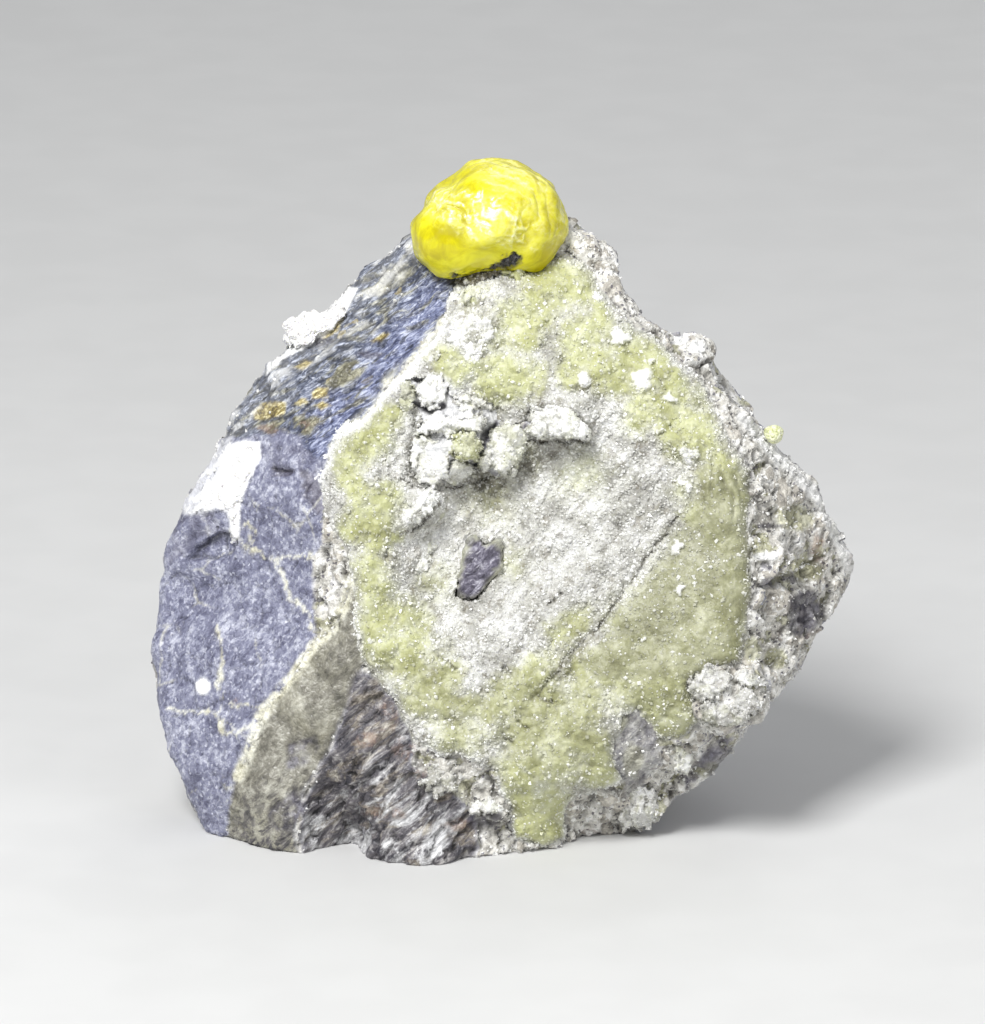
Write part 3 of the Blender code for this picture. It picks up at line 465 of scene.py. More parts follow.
def facets(points: Array, size: float, tilt: float, seed: float = 0.0) -> tuple[Array, ...]:
    """Breaks a surface into random blocks with flat, tilted faces.

    Args:
        points: An n x 3 array in millimetres.
        size: Mean spacing of the blocks, in millimetres.
        tilt: How steep the faces are.
        seed: Moves the pattern.

    Returns:
        The faces' height, about 0 to 1, how far inside its block each point is, and one random value
        for each block.
    """
    scaled = points / size + seed * GRAIN_STEP
    found = [noise.voronoi(p) for p in scaled.tolist()]
    inner = np.array([f[0][1] - f[0][0] for f in found])
    centres = np.array([tuple(f[1][0]) for f in found])
    mixer = np.array(((12.99, 39.35, 73.16, 9.17), (78.23, 11.14, 52.24, 31.72), (37.72, 83.16, 9.15, 61.37)))
    dice = np.modf(np.abs(np.sin(centres @ mixer)) * SCRAMBLE)[0]
    slope = ((scaled - centres) * (2 * dice[:, 1:] - 1)).sum(axis=1)
    return (dice[:, 0] + tilt * slope).clip(0, 1), inner, dice[:, 0]


def along(points: Array, angle_deg: float, long: float, wide: float, deep: float) -> Array:
    """Squeezes points so that noise on them becomes fibres in one direction of the face.

    Args:
        points: An n x 3 array in millimetres.
        angle_deg: Direction of the fibres, counted from u.
        long: Length of the fibres.
        wide: Width of the fibres in the face.
        deep: Width of the fibres across the face.

    Returns:
        An n x 3 array, in fibre sizes.
    """
    turn = math.radians(angle_deg)
    run = points[:, 0] * math.cos(turn) + points[:, 1] * math.sin(turn)
    off = points[:, 1] * math.cos(turn) - points[:, 0] * math.sin(turn)
    return np.stack((run / long, off / wide, points[:, 2] / deep), axis=1)


def warped(points: Array, amount: float, size: float, seed: float = 3.0) -> Array:
    """Gives the points' (u, v) places shifted by noise, so that borders wander."""
    shift = np.stack((fractal(points, size, 3, seed), fractal(points, size, 3, seed + 9.0)), axis=1)
    return points[:, :2] + amount * shift


def warp3(points: Array, amount: float, size: float) -> Array:
    """Shifts points by noise in all three directions."""
    shift = [fractal(points, size, 2, 20.0 + 3.0 * k) for k in range(3)]
    return points + amount * np.stack(shift, axis=1)


def edge_distance(line: Outline, places: Array, closed: bool = False) -> Array:
    """Measures how far places are from a line.

    Args:
        line: The line's points.
        places: An n x 2 array.
        closed: Whether the line's last point joins its first.

    Returns:
        One distance for each place.
    """
    points = np.array(line, float)
    ends = np.roll(points, -1, axis=0) if closed else points[1:]
    starts = points if closed else points[:-1]
    best = np.full(len(places), np.inf)
    for start, end in zip(starts, ends):
        run = end - start
        share = ((places - start) @ run / (run @ run)).clip(0, 1)
        off = places - start - share[:, None] * run
        best = np.minimum(best, np.hypot(off[:, 0], off[:, 1]))
    return best


def depth_inside(outline: Outline, places: Array) -> Array:
    """Measures how far inside an outline places are; outside it the value is negative.

    Args:
        outline: The outline's points.
        places: An n x 2 array.

    Returns:
        One signed distance for each place.
    """
    within = np.zeros(len(places), bool)
    x, y = places[:, 0], places[:, 1]
    for (x1, y1), (x2, y2) in zip(outline, outline[1:] + outline[:1]):
        if y1 != y2:
            crossing = x1 + (y - y1) * (x2 - x1) / (y2 - y1)
            within ^= ((y1 > y) != (y2 > y)) & (x < crossing)
    far = edge_distance(outline, places, True)
    return np.where(within, far, -far)


def spots(places: Array, listed: Ovals) -> Array:
    """Marks oval spots, 1 inside and 0 outside.

    Args:
        places: An n x 2 array.
        listed: Centre and half sizes of each spot.

    Returns:
        One value for each place.
    """
    mark = np.zeros(len(places))
    for u, v, half_u, half_v in listed:
        away = np.hypot((places[:, 0] - u) / half_u, (places[:, 1] - v) / half_v)
        mark = np.maximum(mark, smooth_step(away, 1.25, 0.8))
    return mark


def lined(lines: tuple[Outline, ...], places: Array, width: Array | float) -> Array:
    """Marks lines: 1 on them, fading beside them over a width."""
    return np.maximum.reduce([np.exp(-(edge_distance(line, places) / width) ** 2) for line in lines])


# ---- surfaces ----

@dataclass
class Surface:
    """A triangle mesh in the face's frame, in millimetres, with named values on its points."""

    points: Array
    faces: Array
    fields: dict[str, Array] = field(default_factory=dict)

    @staticmethod
    def of_mesh(mesh: bpy.types.Mesh) -> "Surface":
        """Reads a mesh.

        Args:
            mesh: A mesh whose places are already in the face's frame.

        Returns:
            Its surface.
        """
        points = np.empty(len(mesh.vertices) * 3)
        mesh.vertices.foreach_get("co", points)
        mesh.calc_loop_triangles()
        faces = np.empty(len(mesh.loop_triangles) * 3, np.int64)
        mesh.loop_triangles.foreach_get("vertices", faces)
        return Surface(points.reshape(-1, 3), faces.reshape(-1, 3))

    def to_mesh(self, name: str) -> bpy.types.Mesh:
        """Writes the bare mesh, still in the face's frame.

        Args:
            name: The mesh's name.

        Returns:
            The new mesh.
        """
        mesh = bpy.data.meshes.new(name)
        mesh.vertices.add(len(self.points))
        mesh.vertices.foreach_set("co", self.points.ravel())
        mesh.loops.add(self.faces.size)
        mesh.loops.foreach_set("vertex_index", self.faces.ravel().astype(np.int32))
        mesh.polygons.add(len(self.faces))
        mesh.polygons.foreach_set("loop_start", np.arange(0, self.faces.size, 3, dtype=np.int32))
        mesh.update(calc_edges=True)
        return mesh

    def crosses(self) -> Array:
        """Gives each triangle's normal, as long as twice its area."""
        a, b, c = (self.points[self.faces[:, k]] for k in range(3))
        return np.cross(b - a, c - a)

    def normals(self) -> Array:
        """Gives the unit normal at each point, weighted by area.

        Returns:
            An n x 3 array.
        """
        across = self.crosses()
        total = np.zeros_like(self.points)
        for k in range(3):
            for axis in range(3):
                total[:, axis] += np.bincount(self.faces[:, k], across[:, axis], len(self.points))
        return total / np.linalg.norm(total, axis=1, keepdims=True).clip(1e-12)

    def smoothed(self, values: Array, passes: int) -> Array:
        """Averages values over neighbouring points.

        Args:
            values: One value or one row for each point.
            passes: How often it averages.

        Returns:
            The averaged values.
        """
        starts = self.faces.ravel()
        ends = np.roll(self.faces, -1, axis=1).ravel()
        count = np.bincount(starts, minlength=len(self.points)).clip(1)
        columns = values.reshape(len(values), -1).astype(float)
        for _ in range(passes):
            near = [np.bincount(starts, c[ends], len(self.points)) / count for c in columns.T]
            columns = 0.5 * columns + 0.5 * np.stack(near, axis=1)
        return columns.reshape(values.shape)

    def cut_down(self, faces: int, keep: Array) -> "Surface":
        """Collapses edges until few enough faces are left.

        Args:
            faces: How many triangles may stay.
            keep: One weight for each point, 0 to 1, highest where detail has to stay.

        Returns:
            The lighter surface, with its fields.
        """
        if len(self.faces) <= faces:
            return self
        mesh = self.to_mesh("cut_down")
        for name, values in self.fields.items():
            mesh.attributes.new(name, "FLOAT", "POINT").data.foreach_set("value", values)
        obj = linked("cut_down", mesh)
        group = obj.vertex_groups.new(name="loose")
        levels = (10 * (1 - keep)).round().astype(int)
        for level in np.unique(levels):
            group.add(np.nonzero(levels == level)[0].tolist(), float(level) / 10, "REPLACE")
        decimate = obj.modifiers.new("fewer", "DECIMATE")
        decimate.ratio = faces / len(self.faces)
        decimate.vertex_group = group.name
        mesh = baked(obj)
        lighter = Surface.of_mesh(mesh)
        for name in self.fields:
            lighter.fields[name] = np.empty(len(lighter.points))
            mesh.attributes[name].data.foreach_get("value", lighter.fields[name])
        return lighter

    def scattered(self, weight: Array, count: int, seed: int) -> tuple[Array, ...]:
        """Throws random points on the surface.

        Args:
            weight: Likeliness at each point of the surface.
            count: How many points are thrown.
            seed: Seed of the throw.

        Returns:
            The triangle of each thrown point and its shares of the triangle's corners.
        """
        area = np.linalg.norm(self.crosses(), axis=1) * weight[self.faces].mean(axis=1)
        dice = np.random.default_rng(seed)
        chosen = dice.choice(len(self.faces), size=count, p=area / area.sum())
        shares = dice.dirichlet((1, 1, 1), size=count)
        return chosen, shares

    @staticmethod
    def joined(parts: list["Surface"]) -> "Surface":
        """Joins surfaces that carry the same fields.

        Args:
            parts: The surfaces.

        Returns:
            All of them as one.
        """
        starts = np.cumsum([0] + [len(part.points) for part in parts[:-1]])
        return Surface(
            np.vstack([part.points for part in parts]),
            np.vstack([part.faces + start for part, start in zip(parts, starts)]),
            {name: np.concatenate([part.fields[name] for part in parts]) for name in parts[0].fields},
        )


def linked(name: str, data: bpy.types.ID) -> bpy.types.Object:
    """Puts a new object into the scene.

    Args:
        name: The object's name.
        data: Its mesh, lamp or camera.

    Returns:
        The new object.
    """
    obj = bpy.data.objects.new(name, data)
    bpy.context.scene.collection.objects.link(obj)
    return obj


def baked(obj: bpy.types.Object) -> bpy.types.Mesh:
    """Applies an object's modifiers and removes the object.

    Args:
        obj: A mesh object in the scene.

    Returns:
        The mesh with the modifiers applied.
    """
    graph = bpy.context.evaluated_depsgraph_get()
    mesh = bpy.data.meshes.new_from_object(obj.evaluated_get(graph))
    bpy.data.objects.remove(obj)
    return mesh


def fine_copy(node: str, voxel: float, passes: int) -> Surface:
    """Copies a solid of the frame as an even, fine mesh with its facets softened.

    Args:
        node: The solid's name.
        voxel: Size of the new mesh's faces, in millimetres.
        passes: How often the mesh is smoothed.

    Returns:
        The fine surface in the face's frame.
    """
    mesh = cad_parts[node].data.copy()
    mesh.transform(FACE.to_object().inverted())
    obj = linked(node + "_copy", mesh)
    remesh = obj.modifiers.new("even", "REMESH")
    remesh.mode = "VOXEL"
    remesh.voxel_size = voxel
    surface = Surface.of_mesh(baked(obj))
    surface.points = surface.smoothed(surface.points, passes)
    return surface


def depth_tree(node: str) -> BVHTree:
    """Gets a solid of the frame ready for measuring depths.

    Args:
        node: The solid's name.

    Returns:
        A tree in the face's frame.
    """
    turn = FACE.to_object().inverted()
    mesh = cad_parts[node].data
    points = [turn @ v.co for v in mesh.vertices]
    return BVHTree.FromPolygons(points, [tuple(p.vertices) for p in mesh.polygons])


def fronts(tree: BVHTree, places: Array, high: float = 60.0) -> Array:
    """Looks along the face's depth for the solids' front.

    Args:
        tree: The solids.
        places: An n x 2 array of u and v.
        high: Where the rays start.

    Returns:
        The front's t at each place, or nan where there is none.
    """
    down = Vector((0, 0, -1))
    found = [tree.ray_cast(Vector((u, v, high)), down)[0] for u, v in places.tolist()]
    return np.array([math.nan if hit is None else hit.z for hit in found])


@dataclass
class SheetGrid:
    """An even grid of places on the face that a crust is built on."""

    low: Point2
    high: Point2
    step: float

    def __post_init__(self) -> None:
        """Lays out the rows and columns."""
        self.us = np.arange(self.low[0], self.high[0], self.step)
        self.vs = np.arange(self.low[1], self.high[1], self.step)
        across, up = np.meshgrid(self.us, self.vs)
        self.places = np.stack((across.ravel(), up.ravel()), axis=1)
        self.flat = np.column_stack((self.places, np.zeros(len(self.places))))

    def spread(self, values: Array, reach: float) -> Array:
        """Blurs values over the grid, passing over those that are missing.

        Args:
            values: One value for each place; nan where there is none.
            reach: Width of the blur, in millimetres.

        Returns:
            The blurred values.
        """
        known = np.isfinite(values)
        total = np.where(known, values, 0.0).reshape(len(self.vs), len(self.us))
        weight = known.astype(float).reshape(total.shape)
        count = min(int(3 * reach / self.step), (min(total.shape) - 1) // 2)
        kernel = np.exp(-(np.arange(-count, count + 1) * self.step / reach) ** 2)
        for axis in (0, 1):
            total = np.apply_along_axis(np.convolve, axis, total, kernel, "same")
            weight = np.apply_along_axis(np.convolve, axis, weight, kernel, "same")
        return (total / weight.clip(1e-9)).ravel()

    def sheet(self, heights: Array, keep: Array) -> tuple[Surface, Array]:
        """Makes the sheet over the places that a crust covers.

        Args:
            heights: The sheet's t at each place.
            keep: Which places are covered.

        Returns:
            The sheet and the numbers of its places.
        """
        rows, columns = len(self.vs), len(self.us)
        number = np.arange(rows * columns).reshape(rows, columns)
        a, b, c, d = number[:-1, :-1], number[:-1, 1:], number[1:, 1:], number[1:, :-1]
        quads = np.stack((a.ravel(), b.ravel(), c.ravel(), d.ravel()), axis=1)
        quads = quads[keep[quads].all(axis=1)]
        even = (quads[:, 0] % columns + quads[:, 0] // columns) % 2 == 0
        first = np.where(even[:, None], quads[:, [0, 1, 2]], quads[:, [0, 1, 3]])
        second = np.where(even[:, None], quads[:, [0, 2, 3]], quads[:, [1, 2, 3]])
        faces = np.concatenate((first, second))
        used, faces = np.unique(faces, return_inverse=True)
        return Surface(np.column_stack((self.places, heights))[used], faces.reshape(-1, 3)), used


# ---- pieces ----

def flat_map(points: Array, faces: Array) -> Array:
    """Lays a surface flat by its places on the face.

    Args:
        points: The surface's points.
        faces: Its triangles.

    Returns:
        A map place for each triangle corner.
    """
    low, high = points[:, :2].min(axis=0), points[:, :2].max(axis=0)
    flat = 0.01 + 0.98 * (points[:, :2] - low) / (high - low).max()
    return flat[faces.ravel()]


def box_map(points: Array, faces: Array, normals: Array) -> Array:
    """Lays a closed surface out as its six sides, in a grid of three by two.

    Args:
        points: The surface's points.
        faces: Its triangles.
        normals: Smooth normals at its points.

    Returns:
        A map place for each triangle corner.
    """
    facing = normals[faces].mean(axis=1)
    axis = np.abs(facing).argmax(axis=1)
    side = axis * 2 + (np.take_along_axis(facing, axis[:, None], 1)[:, 0] < 0)
    low, high = points.min(axis=0), points.max(axis=0)
    share = (points - low) / (high - low).max()
    corners = share[faces]
    flat = np.empty((len(faces), 3, 2))
    for s in range(6):
        mine = side == s
        kept = [k for k in range(3) if k != s // 2]
        column, row = s % 3, s // 3
        flat[mine, :, 0] = (column + 0.02 + 0.96 * corners[mine][:, :, kept[0]]) / 3
        flat[mine, :, 1] = (row + 0.02 + 0.96 * corners[mine][:, :, kept[1]]) / 2
    return flat.reshape(-1, 2)


@dataclass(frozen=True)
class Piece:
    """How a finished surface goes into the scene."""

    name: str
    slot: Slot
    replaces: str
    smooth: bool = True
    closed: bool = False

    def place(self, surface: Surface, material: bpy.types.Material) -> bpy.types.Object:
        """Makes the object, dresses it, and ties it to the frame.

        Args:
            surface: The finished surface.
            material: Its material.

        Returns:
            The new object.
        """
        mesh = surface.to_mesh(self.name)
        flat = (
            box_map(surface.points, surface.faces, surface.smoothed(surface.normals(), 6))
            if self.closed else flat_map(surface.points, surface.faces)
        )
        mesh.uv_layers.new(name="OFBake").data.foreach_set("uv", flat.ravel())
        for name, values in surface.fields.items():
            layer = mesh.attributes.new(name, "FLOAT", "POINT")
            layer.data.foreach_set("value", values.astype(np.float32))
        mesh.polygons.foreach_set("use_smooth", np.full(len(surface.faces), self.smooth))
        mesh.vertices.foreach_set("co", FACE.object_points(surface.points).ravel())
        mesh.update()
        mesh.materials.append(material)
        obj = linked(self.name, mesh)
        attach(obj, BODY)
        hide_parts(self.replaces)
        LOG.info("%s: %d triangles", self.name, len(surface.faces))
        return obj


# ---- finishes ----

# How far the specimen's minerals bend light, and how far red, green and blue go inside them
REFRACTION = 1.55
GLOW_RADIUS = (0.9, 0.95, 0.5)


class Shader:
    """Lays out the nodes of one material; its places are millimetres of the face's frame."""

    def __init__(self, name: str) -> None:
        """Starts a material.

        Args:
            name: The material's name.
        """
        self.material = bpy.data.materials.new(name)
        self.material.use_nodes = True
        self.nodes = self.material.node_tree.nodes
        self.links = self.material.node_tree.links
        self.body = self.nodes["Principled BSDF"]
        lean = math.radians(FACE.lean_deg)
        across, back = FACE.origin
        coordinates = self.add("TexCoord", {}).outputs["Object"]
        self.place = self.mapped(
            coordinates,
            Scale=(1 / FACE.unit,) * 3,
            Rotation=(lean - math.pi / 2, 0, 0),
            Location=(-across, -math.sin(lean) * back, math.cos(lean) * back),
        )

    def add(
        self, kind: str, inputs: dict[str | int, Socket | float | tuple], **settings: str
    ) -> bpy.types.Node:
        """Adds a node.

        Args:
            kind: The node's type, without the words in front.
            inputs: What goes into its sockets, by name or number: another node's socket or a value.
            settings: Its own settings.

        Returns:
            The new node.
        """
        node = self.nodes.new("ShaderNode" + kind)
        for name, value in settings.items():
            setattr(node, name, value)
        for name, value in inputs.items():
            if isinstance(value, Socket):
                self.links.new(value, node.inputs[name])
            else:
                node.inputs[name].default_value = value
        return node

    def mapped(self, vector: Socket, **values: tuple[float, float, float]) -> Socket:
        """Scales, then turns, then shifts places by the Scale, Rotation and Location that are given."""
        return self.add("Mapping", {"Vector": vector, **values}).outputs["Vector"]

    def fibres(self, angle_deg: float, long: float, wide: float, deep: float) -> Socket:
        """Gives places squeezed along one direction of the face, in fibre sizes."""
        turned = self.mapped(self.place, Rotation=(0, 0, -math.radians(angle_deg)))
        return self.mapped(turned, Scale=(1 / long, 1 / wide, 1 / deep))

    def noise(
        self,
        size: float,
        detail: float = 4.0,
        rough: float = 0.6,
        place: Socket | None = None,
        bend: float = 0.0,
    ) -> Socket:
        """Adds fractal noise of about 0.3 to 0.7, on other places if they are given, twisted by the bend."""
        values = {"Scale": 1 / size, "Detail": detail, "Roughness": rough, "Distortion": bend}
        return self.add("TexNoise", {"Vector": place or self.place, **values}).outputs["Fac"]

    def grains(self, size: float, feature: str = "DISTANCE_TO_EDGE") -> Socket:
        """Adds a pattern of random grains and gives one of its distances."""
        node = self.add("TexVoronoi", {"Vector": self.place, "Scale": 1 / size}, feature=feature)
        return node.outputs["Distance"]

    def chips(self, size: float, bend: float, place: Socket | None = None) -> Socket:
        """Gives each of many ragged chips its own random value.

        Args:
            size: Mean width of a chip.
            bend: How far the chips' borders are bent, in millimetres.
            place: Other places than the face's millimetres.

        Returns:
            A value from 0 to 1, the same all over one chip.
        """
        place = place or self.place
        waves = self.add("TexNoise", {"Vector": place, "Scale": 1.3 / size, "Detail": 3})
        values = {0: waves.outputs["Color"], 1: (bend,) * 3, 2: place}
        shift = self.add("VectorMath", values, operation="MULTIPLY_ADD")
        node = self.add("TexVoronoi", {"Vector": shift.outputs["Vector"], "Scale": 1 / size})
        return self.add("SeparateColor", {"Color": node.outputs["Color"]}).outputs["Red"]

    def hairs(self, size: float, width: float, bend: float = 0.6) -> Socket:
        """Draws thin wandering lines: 1 on them, 0 beside them."""
        off = self.sums("ABSOLUTE", self.sums("SUBTRACT", self.noise(size, 5, 0.5, None, bend), 0.5), 0.0)
        return self.between(off, 0.0, width, 1.0, 0.0)

    def marked(self, name: str) -> Socket:
        """Reads the values that the mesh carries under a name."""
        return self.add("Attribute", {}, attribute_name=name).outputs["Fac"]

    def between(
        self, value: Socket, low: float, high: float, start: float = 0.0, end: float = 1.0
    ) -> Socket:
        """Stretches the values from low and high to start and end, and holds them there."""
        values = {"Value": value, "From Min": low, "From Max": high, "To Min": start, "To Max": end}
        return self.add("MapRange", values).outputs["Result"]

    def sums(self, operation: str, first: Socket, second: Socket | float) -> Socket:
        """Joins two values, or a value and a number, by the sum of that name."""
        return self.add("Math", {0: first, 1: second}, operation=operation).outputs["Value"]

    def mean(self, first: Socket, second: Socket) -> Socket:
        """Gives the mean of two values."""
        return self.sums("MULTIPLY", self.sums("ADD", first, second), 0.5)

    def ramp(self, value: Socket, stops: tuple[tuple[float, Colour], ...]) -> Socket:
        """Turns values into colours.

        Args:
            value: The values.
            stops: Values and their colours, in order.

        Returns:
            The colour.
        """
        node = self.add("ValToRGB", {"Fac": value})
        elements = node.color_ramp.elements
        while len(elements) < len(stops):
            elements.new(0.5)
        for element, (share, colour) in zip(elements, stops):
            element.position = share
            element.color = srgb(colour)
        return node.outputs["Color"]

    def mix(
        self,
        share: Socket | float,
        first: Socket | Colour,
        second: Socket | Colour,
        blend: str = "MIX",
    ) -> Socket:
        """Mixes two colours.

        Args:
            share: How much of the second colour shows.
            first: The first colour.
            second: The second colour.
            blend: How the second goes over the first.

        Returns:
            The mixed colour.
        """
        first, second = (srgb(c) if isinstance(c, tuple) else c for c in (first, second))
        node = self.add("Mix", {0: share, 6: first, 7: second}, data_type="RGBA", blend_type=blend)
        return node.outputs[2]

    def pitted(self, colour: Socket, shade: Colour, share: float) -> Socket:
        """Paints shade into the hollows that the mesh carries as pits."""
        return self.mix(self.between(self.marked("pit"), 0.0, 1.0, 0.0, share), colour, shade, "MULTIPLY")

    def raised(self, height: Socket, depth: float) -> None:
        """Gives the surface fine relief, of that depth in millimetres, from heights of 0 to 1."""
        node = self.add("Bump", {"Height": height, "Distance": depth * FACE.unit})
        self.links.new(node.outputs["Normal"], self.body.inputs["Normal"])

    def done(
        self, colour: Socket, roughness: Socket, glow: float = 0.0, depth: float = 1.0
    ) -> bpy.types.Material:
        """Joins colour and roughness to the shader.

        Args:
            colour: The base colour.
            roughness: The roughness.
            glow: How much light goes through the surface.
            depth: How deep that light goes, in millimetres.

        Returns:
            The finished material.
        """
        self.links.new(colour, self.body.inputs["Base Color"])
        self.links.new(roughness, self.body.inputs["Roughness"])
        self.body.inputs["IOR"].default_value = REFRACTION
        if glow:
            self.body.inputs["Subsurface Weight"].default_value = glow
            self.body.inputs["Subsurface Scale"].default_value = depth * FACE.unit
            self.body.inputs["Subsurface Radius"].default_value = GLOW_RADIUS
        return self.material


@dataclass(frozen=True)
class Tones:
    """Dark, middle and light tone of one kind of surface."""

    dark: Colour
    middle: Colour
    light: Colour

    def on(self, shader: Shader, value: Socket, low: float = 0.38, high: float = 0.62) -> Socket:
        """Spreads the tones over a pattern: dark below low, light above high."""
        return shader.ramp(value, ((low, self.dark), (0.5 * (low + high), self.middle), (high, self.light)))


@dataclass(frozen=True)
class RockFinish:
    """The host rock: serpentine slicks, violet-grey flank, grainy rim, slate, stains and white."""

    violet: Tones = Tones((88, 89, 112), (136, 138, 160), (206, 208, 221))
    slick: Tones = Tones((40, 44, 56), (84, 90, 108), (184, 190, 206))
    bluish: Tones = Tones((56, 62, 92), (122, 129, 162), (202, 208, 229))
    drab: Tones = Tones((40, 38, 30), (104, 101, 82), (188, 185, 158))
    gold: Tones = Tones((92, 80, 50), (172, 156, 98), (236, 226, 178))
    grainy: Tones = Tones((114, 110, 104), (206, 203, 195), (250, 249, 246))
    tan: Tones = Tones((80, 70, 58), (148, 138, 120), (214, 207, 190))
    moss: Tones = Tones((104, 102, 70), (176, 175, 138), (220, 219, 190))
    inky: Tones = Tones((34, 32, 44), (76, 72, 86), (150, 148, 160))
    olive: Tones = Tones((70, 68, 60), (126, 123, 112), (186, 184, 172))
    slate: Tones = Tones((48, 47, 55), (102, 98, 102), (176, 173, 170))
    druse: Tones = Tones((116, 114, 98), (178, 178, 158), (220, 220, 204))
    ledge: Tones = Tones((124, 123, 124), (206, 206, 207), (248, 248, 249))
    chip: Tones = Tones((44, 40, 54), (106, 102, 118), (206, 204, 214))
    rust: Tones = Tones((84, 62, 54), (138, 112, 98), (196, 180, 162))
    cream: Tones = Tones((158, 154, 128), (218, 215, 194), (240, 239, 226))
    white: Tones = Tones((206, 206, 206), (248, 248, 246), (254, 254, 253))
    # Near-black painted shade for the hollows and the cleft at the ball's foot
    crevice_shade: Colour = (44, 42, 46)

    def build(self) -> bpy.types.Material:
        """Makes the material.

        Returns:
            The new material.
        """
        s = Shader("host_rock")
        speck = s.noise(0.5, 4, 0.65)
        cloud = s.noise(4.6, 8, 0.70, None, 0.4)
        mixed = s.mean(cloud, s.mean(cloud, speck))
        fine = s.noise(1.3, 8, 0.74, None, 0.3)
        crisp = s.mean(s.mean(mixed, fine), fine)
        fibre = s.noise(1, 6, 0.70, s.fibres(32, 2.0, 0.5, 1.2), 1.8)
        splinter = s.noise(1, 7, 0.70, s.fibres(42, 3.0, 0.8, 1.4), 1.2)
        lens = s.noise(1, 5, 0.6, s.fibres(30, 4.2, 1.3, 2.0), 0.6)
        small = s.chips(0.26, 0.2)
        block = s.marked("block")
        scaly = s.noise(1, 7, 0.70, s.fibres(38, 2.6, 1.1, 1.6), 1.6)
        flake = s.between(s.chips(0.55, 0.35), 0.0, 1.0, 0.40, 0.60)
        colour = self.violet.on(s, s.mean(s.mean(mixed, scaly), s.mean(crisp, flake)), 0.44, 0.58)
        # Painted glints: a few small chips lightened
        colour = s.mix(s.between(small, 0.95, 0.96, 0.0, 0.6), colour, self.violet.light)
        colour = s.mix(s.between(small, 0.06, 0.05, 0.0, 0.5), colour, self.violet.dark)
        colour = s.mix(s.sums("MULTIPLY", s.hairs(3.4, 0.013, 0.2), 0.35), colour, self.violet.light)
        colour = s.mix(s.sums("MULTIPLY", s.hairs(2.6, 0.012, 0.4), 0.3), colour, self.violet.dark)
        scales = s.between(s.chips(1.0, 0.4, s.fibres(33, 1.1, 0.34, 0.6)), 0.0, 1.0, 0.34, 0.66)
        woven = s.mean(s.mean(fibre, crisp), s.mean(fibre, scales))
        slick = self.slick.on(s, woven, 0.43, 0.59)
        slick = s.mix(s.marked("bluish"), slick, self.bluish.on(s, woven, 0.43, 0.59))
        slick = s.mix(s.between(lens, 0.53, 0.64, 0.0, 0.85), slick, self.drab.on(s, woven, 0.42, 0.59))
        flecks = s.chips(0.7, 0.5, s.fibres(32, 1.5, 0.8, 1.0))
        slick = s.mix(s.between(flecks, 0.975, 0.985, 0.0, 0.5), slick, self.gold.middle)
        slick = s.mix(s.between(flecks, 0.10, 0.08, 0.0, 0.7), slick, self.slick.dark)
        slick = s.mix(s.marked("lens"), slick, self.drab.on(s, s.mean(splinter, fine), 0.38, 0.60))
        slick = s.mix(s.marked("gold"), slick, self.gold.on(s, woven, 0.44, 0.57))
        colour = s.mix(s.marked("slick"), colour, slick)
        blocky = s.mean(crisp, s.between(block, 0.1, 0.9, 0.40, 0.60))
        grainy = self.grainy.on(s, blocky, 0.42, 0.56)
        grainy = s.mix(s.between(block, 0.72, 0.74, 0.0, 0.65), grainy, self.tan.on(s, crisp, 0.40, 0.60))
        grainy = s.mix(s.between(block, 0.24, 0.22, 0.0, 0.6), grainy, self.moss.on(s, crisp, 0.40, 0.60))
        grainy = s.mix(s.between(small, 0.93, 0.95, 0.0, 0.8), grainy, self.inky.on(s, mixed, 0.40, 0.62))
        colour = s.mix(s.marked("grainy"), colour, grainy)
        colour = s.mix(s.marked("moss"), colour, self.moss.on(s, mixed, 0.40, 0.58))
        olive = self.olive.on(s, s.mean(s.mean(mixed, splinter), crisp), 0.41, 0.60)
        frost = s.between(s.noise(4.2, 7, 0.70, s.fibres(58, 1.6, 0.8, 1.0), 0.6), 0.46, 0.60, 0.0, 0.85)
        olive = s.mix(s.sums("MULTIPLY", frost, 0.36), olive, self.cream.on(s, mixed, 0.36, 0.60))
        streaks = s.between(s.mean(splinter, fine), 0.47, 0.53, 0.9, 0.0)
        sliver = s.between(s.chips(1.0, 0.4, s.fibres(42, 1.7, 0.45, 0.8)), 0.0, 1.0, 0.38, 0.62)
        dusky = self.slate.on(s, s.mean(splinter, s.mean(crisp, sliver)), 0.42, 0.60)
        olive = s.mix(s.sums("MULTIPLY", s.marked("ash"), streaks), olive, dusky)
        colour = s.mix(s.marked("olive"), colour, olive)
        veiled = s.between(lens, 0.52, 0.62, 0.0, 0.6)
        slate = s.mix(veiled, dusky, self.tan.on(s, s.mean(splinter, fine), 0.42, 0.60))
        # Lighter splinters on the slate's lower part: partly paler stone, partly painted silvery sheen
        pale_and_sheen = s.sums("MULTIPLY", s.marked("ash"), s.between(s.mean(splinter, frost), 0.34, 0.62))
        slate = s.mix(pale_and_sheen, slate, self.ledge.on(s, s.mean(splinter, crisp), 0.42, 0.62))
        colour = s.mix(s.marked("slate"), colour, slate)
        colour = s.mix(s.marked("druse"), colour, self.druse.on(s, mixed))
        ledge = self.ledge.on(s, blocky, 0.42, 0.56)
        ledge = s.mix(s.between(block, 0.78, 0.80, 0.0, 0.6), ledge, self.tan.on(s, crisp, 0.40, 0.60))
        colour = s.mix(s.marked("ledge"), colour, ledge)
        colour = s.mix(s.marked("chip"), colour, self.chip.on(s, s.mean(splinter, crisp), 0.42, 0.62))
